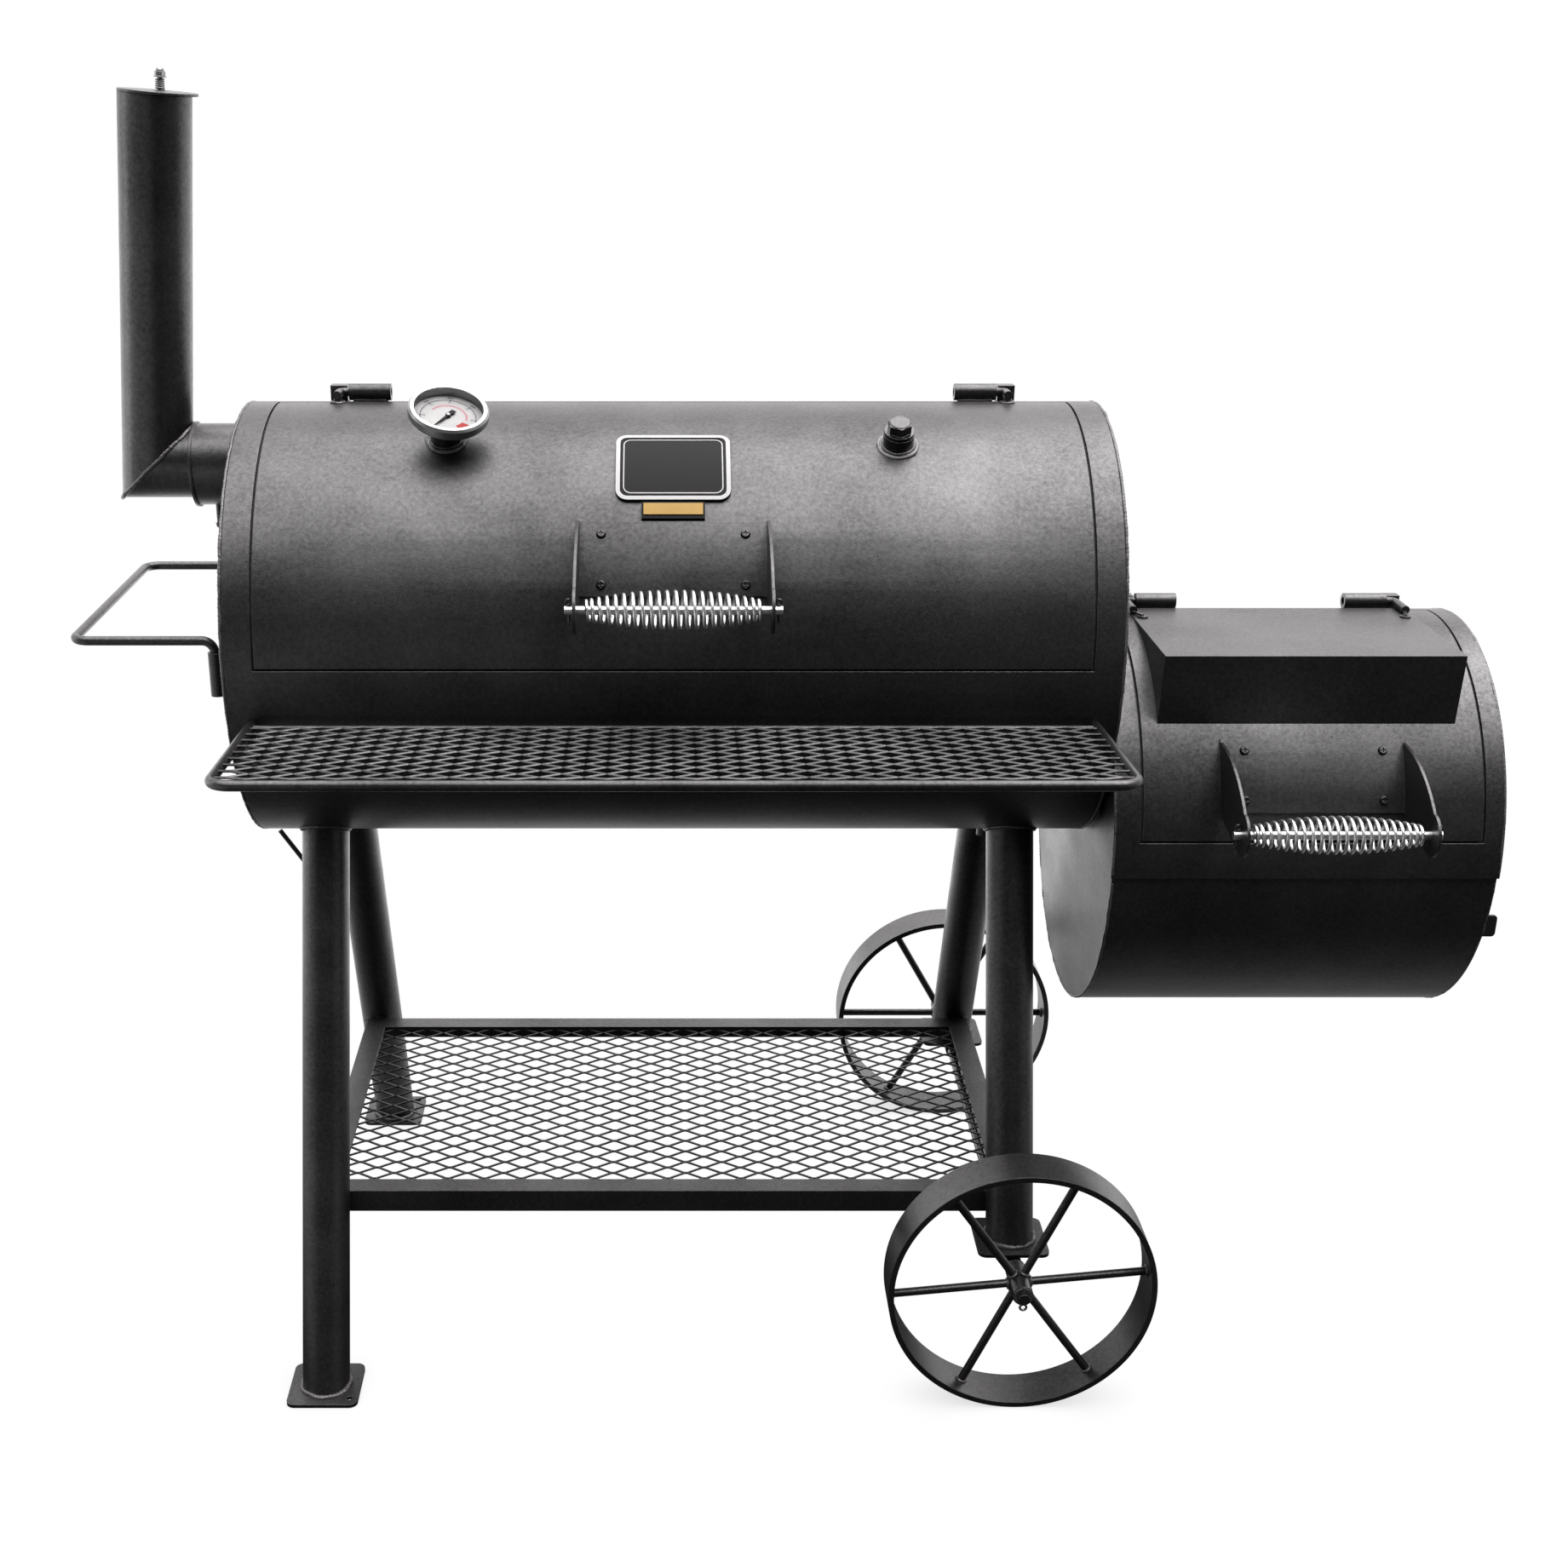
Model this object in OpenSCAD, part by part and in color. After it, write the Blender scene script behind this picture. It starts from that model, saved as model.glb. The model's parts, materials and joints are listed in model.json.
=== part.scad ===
// Barrel charcoal smoker with a side firebox, on two feet and two wheels.
// Frame: X runs along the barrel towards the firebox, -Y is the front, Z is up.
// The origin lies on the floor, straight below the middle of the main barrel.
// Angles round a barrel are measured from its front (-Y) upwards over its top.

/* [Main barrel] */
// Outside diameter of the main barrel
barrel_d = 457.2; // [450:0.2:462]
// Length of the main barrel over its end caps
barrel_len = 889; // [870:1:900]
// Height of the main barrel's axis above the floor
barrel_z = 774; // [768:1:780]
// Thickness of the rolled barrel sheet
sheet_t = 3; // [2.5:0.1:3.2]
// Plain strip left between the main lid and each end of the barrel
lid_margin = 33; // [28:1:36]
// Angle of the main lid's front edge
lid_front_a = 1.9; // [1:0.1:3]
// Angle of the main lid's rear edge
lid_rear_a = 93; // [92:0.1:93]
// Gap all round a lid
lid_gap = 2.4; // [1.5:0.1:3]

/* [Firebox] */
// Outside diameter of the firebox's upper shell
firebox_d = 436; // [430:1:440]
// How far the lower shell is set in below the upper shell
firebox_step = 1.5; // [1:0.5:2.5]
// Length of the firebox
firebox_len = 399.5; // [395:0.5:405]
// Height of the firebox's axis above the floor
firebox_z = 559.5; // [556:0.5:563]
// Thickness of the firebox sheet
firebox_t = 2.8; // [2.5:0.1:3]
// Plain strip left of the firebox lid
firebox_margin_l = 29.5; // [27:0.5:32]
// Plain strip right of the firebox lid
firebox_margin_r = 23; // [21:0.5:26]
// Length of the flat-topped hood on the firebox lid
hood_len = 305; // [295:1:310]
// How far the hood's flat top reaches forward of the firebox axis
hood_reach = 169.5; // [165:0.5:172]

/* [Lid handles] */
// Width over the two ears of a handle bracket
ear_span = 189; // [184:1:194]
// Length of a grip rod
grip_rod_len = 205; // [200:1:212]
// Diameter of a grip rod
grip_rod_d = 8.6; // [8:0.1:9]
// Distance of a grip rod from the barrel it serves
grip_reach = 80; // [76:1:84]
// Number of turns of a spring grip
coil_turns = 22; // [18:1:24]
// Outside diameter of a spring grip at its middle
coil_mid_d = 38.7; // [36:0.1:42]
// Outside diameter of a spring grip at its ends
coil_end_d = 20.6; // [19:0.1:22]
// Diameter of the spring wire
coil_wire_d = 2.8; // [2.4:0.1:3.2]

/* [Chimney] */
// Outside diameter of the chimney pipe
pipe_d = 73; // [70:1:74]
// Wall of the chimney pipe
pipe_t = 2; // [1.5:0.1:2.5]
// Height of the chimney pipe's top above the floor
pipe_top_z = 1304; // [1280:1:1320]
// Lean of the upright pipe towards the barrel
pipe_lean = 4.8; // [0:0.1:6]
// Outside diameter of the collar on the left end cap
collar_d = 84; // [83:0.5:88]
// Length of the collar
collar_len = 57.2; // [56:0.1:64]
// Height of the collar's axis above the barrel's axis
collar_rise = 166; // [160:1:168]
// Rise of the pipe inside the collar, pushed up by the set screw
pipe_rise = 2; // [0:0.25:2.25]

/* [Cart] */
// Outside diameter of a leg tube
leg_d = 50.8; // [48:0.2:52]
// Distance of each leg from the middle of the barrel
leg_x = 371; // [365:1:376]
// Shift of the whole cart towards the firebox
cart_shift = -5; // [-8:0.5:0]
// Distance of a leg's centre from the barrel axis, at floor level
leg_foot_y = 315; // [305:1:325]
// Distance of a leg's centre from the barrel axis, one barrel radius below that axis
leg_top_y = 94; // [88:1:100]
// Side of a square foot plate
foot_side = 76.2; // [72:0.2:84]
// Diameter of a wheel
wheel_d = 281; // [274:1:284]
// Width of a wheel rim
rim_w = 50.8; // [45:0.2:54]
// Distance of the front wheel's middle from the barrel axis
wheel_front_y = 326; // [322:0.5:345]
// Distance of the rear wheel's middle from the barrel axis
wheel_rear_y = 337; // [322:0.5:345]
// Angle of the spokes of the front wheel
spoke_a = 6; // [0:1:59]
// Top of the lower shelf above the floor
shelf_z = 192.5; // [185:0.5:200]
// Outside width of the lower shelf
shelf_w = 770; // [760:1:780]
// Distance of the lower shelf's front face from the barrel axis
shelf_front_y = 226; // [214:1:232]
// Depth of the front shelf, from its rear rod to its front rod
front_shelf_d = 203; // [185:1:208]
// Outside width of the front shelf
front_shelf_w = 850; // [830:1:860]
// Rise of the front shelf towards the front
front_shelf_tilt = 3; // [0:0.5:5]

/* [Hidden] */
$fn = 96;

// Colours
black_steel = [0.10, 0.10, 0.105];
dark_steel = [0.16, 0.16, 0.165];
bright_steel = [0.80, 0.80, 0.82];
plain_steel = [0.55, 0.55, 0.57];
dial_white = [0.93, 0.93, 0.91];
brass = [0.80, 0.66, 0.38];

// Gap left between two pieces that touch, and radial clearance of a pin in its bore
touch = 0.05;
fit = 0.05;

// Main barrel
barrel_r = barrel_d / 2;
half_len = barrel_len / 2;
cap_t = 3;
lid_half = half_len - lid_margin;
seal_t = 3;
seal_gap = 0.3;
hinge_tube_r = 8.6;
hinge_pin_r = 4.5;
main_hinge_y = 25;
main_hinge_rise = sqrt(pow(barrel_r + hinge_tube_r + 1, 2) - pow(main_hinge_y, 2));

// Firebox
firebox_r = firebox_d / 2;
firebox_lower_r = firebox_r - 3;
firebox_sink = 2.5;
flange_t = 6;
firebox_x0 = half_len + flange_t;
firebox_x1 = firebox_x0 + firebox_len;
firebox_lid_x0 = firebox_x0 + firebox_margin_l;
firebox_lid_x1 = firebox_x1 - firebox_margin_r;
firebox_lid_front_a = 9.6;
firebox_lid_rear_a = 96.5;
firebox_hinge_y = 38;
firebox_hinge_rise = sqrt(pow(firebox_r + hinge_tube_r + 0.2, 2) - pow(firebox_hinge_y, 2));
split_drop = 3.7;
lap = 6;
hood_t = 2;
hood_x0 = firebox_lid_x0 + 17;
hood_top = firebox_r + 0.9;
hood_face_bottom = 141;

// Round things on the lids
dial_a = 65;
dial_x = -227.7;
dial_lean = 8;
dial_bung_h = 22;
plug_a = 62.8;
plug_x = 225;
plug_bung_h = 15;
bung_r = 15.5;
bung_bore_r = 10.6;

// Handle bracket: the rod's place, and the fin-shaped ears drawn round it
bracket_t = 3;
ear_t = 3;
ear_bend_r = 165.4;
ear_tip_r = 22;
screw_x = 70.5;
firebox_mid = (firebox_lid_x0 + firebox_lid_x1) / 2;

// Chimney
pipe_r = pipe_d / 2;
collar_z = barrel_z + collar_rise;
riser_x = -(half_len + collar_len + 41);
riser_z = collar_z + pipe_rise;
riser_len = (pipe_top_z - riser_z) / cos(pipe_lean);
collar_bore_r = pipe_r + pipe_rise + 0.5;
damper_pivot = [-0.5, 26];

// Cart
splay_slope = (leg_foot_y - leg_top_y) / (barrel_z - barrel_r);
splay = atan(splay_slope);
foot_t = 4;
wheel_r = wheel_d / 2;
axle_z = wheel_r;
axle_r = 6.35;
sleeve_r = 8.5;
axle_foot_z = axle_z + sleeve_r + touch;
angle_w = 25.4;
angle_t = 3;
shelf_back_y = leg_foot_y - splay_slope * shelf_z - leg_d / 2 / cos(splay) - 0.4;
left_x = cart_shift - leg_x;
right_x = cart_shift + leg_x;
front_shelf_z = 723;
front_shelf_y = -236;
rail_r = 5.2;

// Diamonds of the expanded metal, drawn at twice their real size
diamond_l = 81;
diamond_w = 46;
strand = 6;

// ---- helpers ----

// Moves the grill so that the holes of its two left feet lie on the plane x = 0
module placed() { translate([-left_x - foot_hole[0], 0, 0]) children(); }

// Turns a local frame so that x points forward, y up and z towards -X
module about_x() { rotate([90, 0, -90]) children(); }

// Solid bar along X
module x_bar(r, x0, x1) { translate([x0, 0, 0]) rotate([0, 90, 0]) cylinder(r = r, h = x1 - x0); }

// Solid bar along Y
module y_bar(r, y0, y1) { translate([0, y1, 0]) rotate([90, 0, 0]) cylinder(r = r, h = y1 - y0); }

// Flat plate between two X planes, from an outline of [forward, up] points
module side_plate(x0, x1) { about_x() translate([0, 0, -x1]) linear_extrude(x1 - x0) children(); }

// Part of a tube round the X axis, between two angles and two X planes
module arc_sheet(ro, ri, a0, a1, x0, x1) {
    about_x() rotate([0, 0, a0]) rotate_extrude(angle = a1 - a0)
        translate([ri, -x1]) square([ro - ri, x1 - x0]);
}

// Local frame whose z axis leaves the X axis at angle a
module radial(a, x) { translate([x, 0, 0]) rotate([90 - a, 0, 0]) children(); }

// Rectangle with round corners
module round_rect(w, h, r) {
    square([w - 2 * r, h], center = true);
    square([w, h - 2 * r], center = true);
    for (sx = [-1, 1], sy = [-1, 1])
        translate([sx * (w / 2 - r), sy * (h / 2 - r)]) circle(r);
}

// Rod that turns a corner: a quarter ring from the local x axis to the local y axis
module quarter_bend(r, bend) { rotate_extrude(angle = 90) translate([bend, 0]) circle(r, $fn = 48); }

module at_barrel() { translate([0, 0, barrel_z]) children(); }
module at_firebox() { translate([0, 0, firebox_z]) children(); }

// Expanded metal panel centred on the origin, lying in the XY plane
module expanded_panel(w, d, t) {
    half_l = diamond_l / 2;
    half_w = diamond_w / 2;
    shrink = 1 - strand / 2 * sqrt(half_l * half_l + half_w * half_w) / (half_l * half_w);
    hole_l = half_l * shrink;
    hole_w = half_w * shrink;
    cols = floor(w / diamond_l / 2);
    rows = floor((d / 2 - half_w) / half_w);
    linear_extrude(t) difference() {
        square([w, d], center = true);
        for (j = [-rows:rows], i = [-cols:cols]) {
            cx = i * diamond_l + (j % 2 == 0 ? 0 : half_l);
            if (abs(cx) + half_l < w / 2)
                translate([cx, j * half_w])
                    polygon([[-hole_l, 0], [0, -hole_w], [hole_l, 0], [0, hole_w]]);
        }
    }
}

// Split pin through a rod of radius rod_r, with its eye on the +z side
module split_pin(rod_r, leg_r) {
    eye_r = 2.4 * leg_r;
    translate([0, 0, -rod_r - 7]) cylinder(r = leg_r, h = 2 * rod_r + 8, $fn = 32);
    translate([0, 0, rod_r + eye_r + leg_r]) rotate([90, 0, 0]) rotate_extrude()
        translate([eye_r, 0]) circle(leg_r * 0.9, $fn = 32);
}

// ---- main barrel ----

module main_barrel_shell() {
    color(black_steel) at_barrel() difference() {
        x_bar(barrel_r, -half_len + cap_t + touch, half_len - cap_t - touch);
        x_bar(barrel_r - sheet_t, -half_len, half_len);
        arc_sheet(barrel_r + 5, barrel_r - sheet_t - 5, lid_front_a - 0.6, lid_rear_a + 0.8,
            -lid_half - lid_gap, lid_half + lid_gap);
        translate([drain_x, 0, -barrel_r - 5]) cylinder(r = drain_r - 1.5, h = 12);
    }
}

module cap_disc(x0, x1) {
    x_bar(barrel_r - 1.2, x0, x1);
}

module left_end_cap() {
    color(black_steel) difference() {
        at_barrel() cap_disc(-half_len, -half_len + cap_t);
        translate([0, 0, collar_z]) x_bar(pipe_r, -half_len - 1, -half_len + cap_t + 1);
    }
}

module throat(w, x0, x1) {
    translate([x0, -120 - w, 612 - w]) cube([x1 - x0, 240 + 2 * w, 104 + 2 * w]);
}

module right_end_cap() {
    color(black_steel) difference() {
        at_barrel() cap_disc(half_len - cap_t, half_len);
        throat(0, half_len - cap_t - 1, half_len + 1);
    }
}

// Inner ledge that closes the gap round a lid
module seal_frame(r, a0, a1, x0, x1) {
    inner = 12;
    outer = 14;
    difference() {
        arc_sheet(r, r - seal_t, a0 - 5, a1 + 4, x0 - outer, x1 + outer);
        arc_sheet(r + 5, r - seal_t - 5, a0 + 4, a1 - 4, x0 + inner, x1 - inner);
    }
}

module lid_seal_frames() {
    color(dark_steel) {
        at_barrel() seal_frame(barrel_r - sheet_t - seal_gap, lid_front_a, lid_rear_a,
            -lid_half, lid_half);
        at_firebox() seal_frame(firebox_r - firebox_t - seal_gap, firebox_lid_front_a,
            firebox_lid_rear_a, firebox_lid_x0, firebox_lid_x1);
    }
}

rail_top = barrel_z - 40;
module grate_rails() {
    color(dark_steel) for (s = [-1, 1])
        translate([-half_len + 16, s * 210.5 - 10, rail_top - 3]) cube([barrel_len - 32, 20, 3]);
}

grate_rod = 4;
grate_bar = 3;
grate_half_y = 206;
module cooking_grate(x0, x1) {
    bars = 17;
    for (s = [-1, 1]) translate([0, s * grate_half_y, 0]) x_bar(grate_rod, x0, x1);
    for (i = [0:bars]) translate([x0 + 6 + i * (x1 - x0 - 12) / bars, 0, 0])
        y_bar(grate_bar, -grate_half_y, grate_half_y);
}

module cooking_grates() {
    color(dark_steel) translate([0, 0, rail_top + grate_rod + touch]) {
        cooking_grate(-lid_half + 6, -2);
        cooking_grate(2, lid_half - 6);
    }
}

module main_lid() {
    color(black_steel) at_barrel() difference() {
        arc_sheet(barrel_r, barrel_r - sheet_t, lid_front_a, lid_rear_a, -lid_half, lid_half);
        radial(dial_a, dial_x) cylinder(r = bung_bore_r, h = barrel_r + 5);
        radial(plug_a, plug_x) cylinder(r = bung_bore_r, h = barrel_r + 5);
        for (x = [-screw_x, screw_x], a = main_screw_a)
            radial(a, x) cylinder(r = 2.7, h = barrel_r + 5);
    }
}

// ---- hinges ----

module hinge_tube(x0, x1) {
    difference() {
        x_bar(hinge_tube_r, x0, x1);
        x_bar(hinge_pin_r + fit, x0 - 1, x1 + 1);
    }
}

// Pin along X from x0 to the bend at x1, then an arm forward, with its weld down onto the lid.
// The bend starts beyond the tube's end. Side is +1 when x1 lies to the right of x0.
module hinge_rod(x0, x1, arm, drop) {
    side = x1 > x0 ? 1 : -1;
    bend = 9;
    x_bar(hinge_pin_r, min(x0, x1), max(x0, x1));
    translate([x1, -bend, 0]) rotate([0, 0, side > 0 ? 0 : 90]) quarter_bend(hinge_pin_r, bend);
    translate([x1 + side * bend, 0, 0]) {
        y_bar(hinge_pin_r, -arm, -bend);
        translate([0, 5 - arm, -drop]) cylinder(r = 4.2, h = drop, $fn = 48);
        translate([0, 4 - arm, -drop]) cylinder(r = 6.4, h = drop - 6.2, $fn = 48);
    }
}

main_tube_x = 296;
main_tube_len = 44;
main_stop_x = 352;
stop_w = 18;
stop_back = 5.7;
module at_main_hinge() { translate([0, main_hinge_y, barrel_z + main_hinge_rise]) children(); }

module main_hinge_tubes() {
    color(black_steel) {
        at_main_hinge() for (s = [-1, 1])
            hinge_tube(s > 0 ? main_tube_x : -main_tube_x - main_tube_len,
                s > 0 ? main_tube_x + main_tube_len : -main_tube_x);
        difference() {
            for (s = [-1, 1])
                translate([s * main_stop_x - stop_w / 2, main_hinge_y + stop_back, barrel_z + barrel_r - 8])
                    cube([stop_w, 14, 22]);
            at_barrel() x_bar(barrel_r + touch, -half_len, half_len);
        }
        difference() {
            for (s = [-1, 1]) translate([s * (main_tube_x + main_tube_len / 2) - 18,
                main_hinge_y - 2, barrel_z + barrel_r - 6]) cube([36, 4, 8]);
            at_barrel() x_bar(barrel_r + touch, -half_len, half_len);
            at_main_hinge() x_bar(hinge_tube_r - 0.5, -half_len, half_len);
        }
    }
}

module main_hinge_rods() {
    arm = 24;
    color(black_steel) difference() {
        at_main_hinge() for (s = [-1, 1])
            hinge_rod(s * (main_tube_x + 4), s * (main_tube_x + main_tube_len + 1), arm, 14);
        at_barrel() x_bar(barrel_r + touch, -half_len, half_len);
    }
}

// ---- lid handles ----

main_rod = [barrel_r + grip_reach, 15.8];
firebox_rod = [firebox_r + grip_reach - 2, 13.7];
main_plate_a = [19.6, 38.4];
firebox_plate_a = [17.2, 37.2];
main_screw_a = [22.4, 35.0];
firebox_screw_a = [20.6, 33.9];

function polar(r, a) = [r * cos(a), r * sin(a)];

// Fin-shaped ear, in [forward, up] coordinates from the barrel axis
module ear_outline(r, rod) {
    p = polar(rod[0], rod[1]);
    difference() {
        union() {
            intersection() {
                translate(p + [-106, -105]) circle(ear_bend_r, $fn = 180);
                translate(p) polygon([[-130, 70], [30, 70], [ear_tip_r - 4, 0], [-2, 0.3 - ear_tip_r],
                    [-84, -8], [-130, -8]]);
            }
            translate(p) circle(ear_tip_r);
        }
        circle(r + touch + 1.2, $fn = 180);
        translate(p) circle(grip_rod_d / 2 + fit);
    }
}

module handle_bracket(r, rod, plate_a, screw_a) {
    half = ear_span / 2;
    difference() {
        arc_sheet(r + touch + bracket_t, r + touch, plate_a[0], plate_a[1], -half, half);
        for (x = [-screw_x, screw_x], a = screw_a) radial(a, x) cylinder(r = 2.7, h = r + 10);
    }
    side_plate(-half, -half + ear_t) ear_outline(r, rod);
    side_plate(half - ear_t, half) ear_outline(r, rod);
}

// Pan head screw through the lid and bracket, with its nut inside the lid
module lid_screw(r, t) {
    head_z = r + bracket_t + 2 * touch;
    translate([0, 0, head_z]) difference() {
        cylinder(r1 = 5, r2 = 3.6, h = 3);
        for (a = [0, 90]) rotate([0, 0, a]) translate([-2.6, -0.5, 1.6]) cube([5.2, 1, 2]);
    }
    translate([0, 0, r - t - 6]) cylinder(r = 2.5, h = bracket_t + t + 7);
    translate([0, 0, r - t - 3.7]) cylinder(r = 4.6, h = 3.5, $fn = 6);
}

module handle_fasteners(r, t, rod, screw_a) {
    for (x = [-screw_x, screw_x], a = screw_a) radial(a, x) lid_screw(r, t);
    p = polar(rod[0], rod[1]);
    for (s = [-1, 1])
        translate([s * (grip_rod_len / 2 - 4), -p[0], p[1]]) split_pin(grip_rod_d / 2, 1.1);
}

module handle_rod(rod) {
    p = polar(rod[0], rod[1]);
    translate([0, -p[0], p[1]]) difference() {
        x_bar(grip_rod_d / 2, -grip_rod_len / 2, grip_rod_len / 2);
        for (s = [-1, 1]) translate([s * (grip_rod_len / 2 - 4), 0, -10]) cylinder(r = 1.2, h = 20);
    }
}

// Turns of the barrel-shaped spring grip, each a ring round the rod
module grip_coil(rod) {
    p = polar(rod[0], rod[1]);
    half = 82.8;
    mid_r = (coil_mid_d - coil_wire_d) / 2;
    end_r = (coil_end_d - coil_wire_d) / 2;
    crown = (half * half + pow(mid_r - end_r, 2)) / (2 * (mid_r - end_r));
    translate([0, -p[0], p[1]]) for (i = [0:coil_turns - 1]) {
        s = 2 * i / (coil_turns - 1) - 1;
        x = half * (1.078 * s - 0.078 * pow(s, 9));
        r = mid_r - (crown - sqrt(crown * crown - x * x));
        translate([x, 0, 0]) rotate([0, 90, 0]) rotate_extrude()
            translate([r, 0]) circle(coil_wire_d / 2, $fn = 32);
    }
}

module main_handle_bracket() {
    color(black_steel) at_barrel() handle_bracket(barrel_r, main_rod, main_plate_a, main_screw_a);
}
module main_handle_fasteners() {
    color(dark_steel) at_barrel() handle_fasteners(barrel_r, sheet_t, main_rod, main_screw_a);
}
module main_handle_rod() { color(bright_steel) at_barrel() handle_rod(main_rod); }
module main_grip_coil() { color(bright_steel) at_barrel() grip_coil(main_rod); }

// ---- thermometer, plug and badge ----

// A threaded bung welded to the lid, and the tube in it leaning to one side
module bung(h, lean) {
    difference() {
        union() {
            translate([0, 0, -8]) cylinder(r = bung_r + 3.5, h = 10);
            rotate([0, lean, 0]) translate([0, 0, -8]) cylinder(r = bung_r, h = h + 8);
        }
        rotate([0, lean, 0]) translate([0, 0, -20]) cylinder(r = bung_bore_r, h = h + 21);
    }
}

module lid_bungs() {
    color(black_steel) at_barrel() difference() {
        union() {
            radial(dial_a, dial_x) translate([0, 0, barrel_r]) bung(dial_bung_h, dial_lean);
            radial(plug_a, plug_x) translate([0, 0, barrel_r]) bung(plug_bung_h, 0);
        }
        x_bar(barrel_r + touch, -half_len, half_len);
    }
}

module probe_plug() {
    color(black_steel) at_barrel() radial(plug_a, plug_x)
        translate([0, 0, barrel_r + plug_bung_h + touch]) rotate([0, 0, 35]) {
            translate([0, 0, -12]) cylinder(r = bung_bore_r - 0.2, h = 12.5);
            cylinder(r = 15, h = 4);
            translate([0, 0, 4]) cylinder(r = 12.4, h = 9, $fn = 6);
            translate([0, 0, 13]) cylinder(r1 = 10.6, r2 = 9.6, h = 1);
        }
}

case_r = 37;
case_z = dial_bung_h + 4.5;
module on_dial() {
    at_barrel() radial(dial_a, dial_x) translate([0, 0, barrel_r]) rotate([0, dial_lean, 0]) children();
}

module thermometer_case() {
    color(plain_steel) on_dial() {
        translate([0, 0, case_z]) difference() {
            cylinder(r = case_r, h = 11);
            translate([0, 0, 1.2]) cylinder(r = case_r - 1.2, h = 11);
        }
        translate([0, 0, case_z]) cylinder(r = 1, h = 5.5, $fn = 32);
        translate([0, 0, dial_bung_h + touch]) cylinder(r = 12.4, h = case_z - dial_bung_h, $fn = 6);
        translate([0, 0, dial_bung_h - 18]) cylinder(r = bung_bore_r - 0.2, h = 18.5);
        translate([0, 0, -60]) cylinder(r = 3, h = 70, $fn = 48);
    }
}

module thermometer_bezel() {
    color(bright_steel) on_dial() translate([0, 0, case_z + 4]) difference() {
        union() {
            cylinder(r = 40.4, h = 6.5);
            translate([0, 0, 6.5]) cylinder(r1 = 40.4, r2 = 38.4, h = 2.4);
        }
        translate([0, 0, -1]) cylinder(r = case_r + 0.1, h = 8.1);
        cylinder(r = 34.6, h = 10);
    }
}

module thermometer_dial() {
    color(dial_white) on_dial() translate([0, 0, case_z + 1.25]) difference() {
        cylinder(r = case_r - 1.5, h = 0.8);
        translate([0, 0, -1]) cylinder(r = 1.4, h = 3, $fn = 32);
    }
}

// The pointer rests at the cold end of the scale
pointer_a = -122;
module thermometer_pointer() {
    color(black_steel) on_dial() translate([0, 0, case_z + 3.2]) rotate([0, 0, pointer_a]) difference() {
        union() {
            cylinder(r = 3, h = 1.2, $fn = 48);
            translate([0, 0, 0.2]) linear_extrude(0.8)
                polygon([
                    [0, -1.6], [24, -0.3], [24, 0.3], [0, 1.6], [-4, 1.4], [-4, 2.6],
                    [-10, 2.6], [-10, -2.6], [-4, -2.6], [-4, -1.4]
                ]);
        }
        translate([0, 0, -1]) cylinder(r = 1 + fit, h = 4, $fn = 32);
    }
}

module thermometer_glass() {
    color([0.8, 0.85, 0.88, 0.3]) on_dial() translate([0, 0, case_z + 9.3])
        cylinder(r = case_r - 1.4, h = 1.6);
}

badge_a = 55.1;
badge_w = 114;
badge_h = 88;
module badge_layer(r0, r1, w, h, corner) {
    intersection() {
        arc_sheet(r1, r0, badge_a - 14, badge_a + 14, -w / 2 - 1, w / 2 + 1);
        radial(badge_a, 0) translate([0, 0, barrel_r - 20]) linear_extrude(40)
            round_rect(w, h, corner);
    }
}

tag_a = [38.9, 43.4];
module badge_plate() {
    color(black_steel) at_barrel() {
        badge_layer(barrel_r + touch, barrel_r + 3, badge_w, badge_h, 12);
        arc_sheet(barrel_r + 5, barrel_r + touch, tag_a[0], tag_a[1], -31, 31);
    }
}

module brass_tag() {
    color(brass) at_barrel()
        arc_sheet(barrel_r + 6.2, barrel_r + 5 + touch, tag_a[0] + 0.9, tag_a[1] - 0.5, -29.2, 29.2);
}

// ---- chimney ----

module stack_collar() {
    color(black_steel) translate([0, 0, collar_z]) difference() {
        union() {
            x_bar(collar_d / 2, -half_len - collar_len, -half_len - touch);
            x_bar(collar_d / 2 + 2, -half_len - collar_len, -half_len - collar_len + 3);
            x_bar(collar_d / 2 + 2.5, -half_len - 3, -half_len - touch);
        }
        x_bar(collar_bore_r, -half_len - collar_len - 1, -half_len + 1);
        translate([collar_screw_x, 0, -collar_d]) cylinder(r = 3.05, h = collar_d);
    }
}

collar_screw_x = -half_len - 38;
module collar_screw() {
    color(dark_steel) translate([collar_screw_x, 0, riser_z]) {
        translate([0, 0, -pipe_r - 28]) cylinder(r = 2.95, h = 27.8);
        translate([0, 0, -pipe_r - 32]) cylinder(r1 = 3.6, r2 = 4.6, h = 4.5);
    }
}

// Half space on one side of the plane in which the two pipes of the elbow meet
module mitre(side) {
    big = 500;
    rotate([0, -(90 - pipe_lean) / 2, 0])
        translate([-big, -big, side > 0 ? touch : -2 * big]) cube(2 * big);
}

module stack_pipe() {
    inner_r = pipe_r - pipe_t;
    color(black_steel) translate([riser_x, 0, riser_z]) {
        intersection() {
            difference() {
                x_bar(pipe_r, -120, -riser_x - half_len - 2);
                x_bar(inner_r, -121, -riser_x - half_len - 1);
            }
            mitre(-1);
        }
        intersection() {
            rotate([0, pipe_lean, 0]) difference() {
                translate([0, 0, -120]) cylinder(r = pipe_r, h = 120 + riser_len);
                difference() {
                    translate([0, 0, -121]) cylinder(r = inner_r, h = 122 + riser_len);
                    translate([damper_pivot[0] - 6, damper_pivot[1] - 6, riser_len - 7]) cube([12, 15, 3]);
                }
                translate([damper_pivot[0], damper_pivot[1], riser_len - 8])
                    cylinder(r = 3 + fit, h = 5, $fn = 48);
            }
            mitre(1);
        }
    }
}

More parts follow.
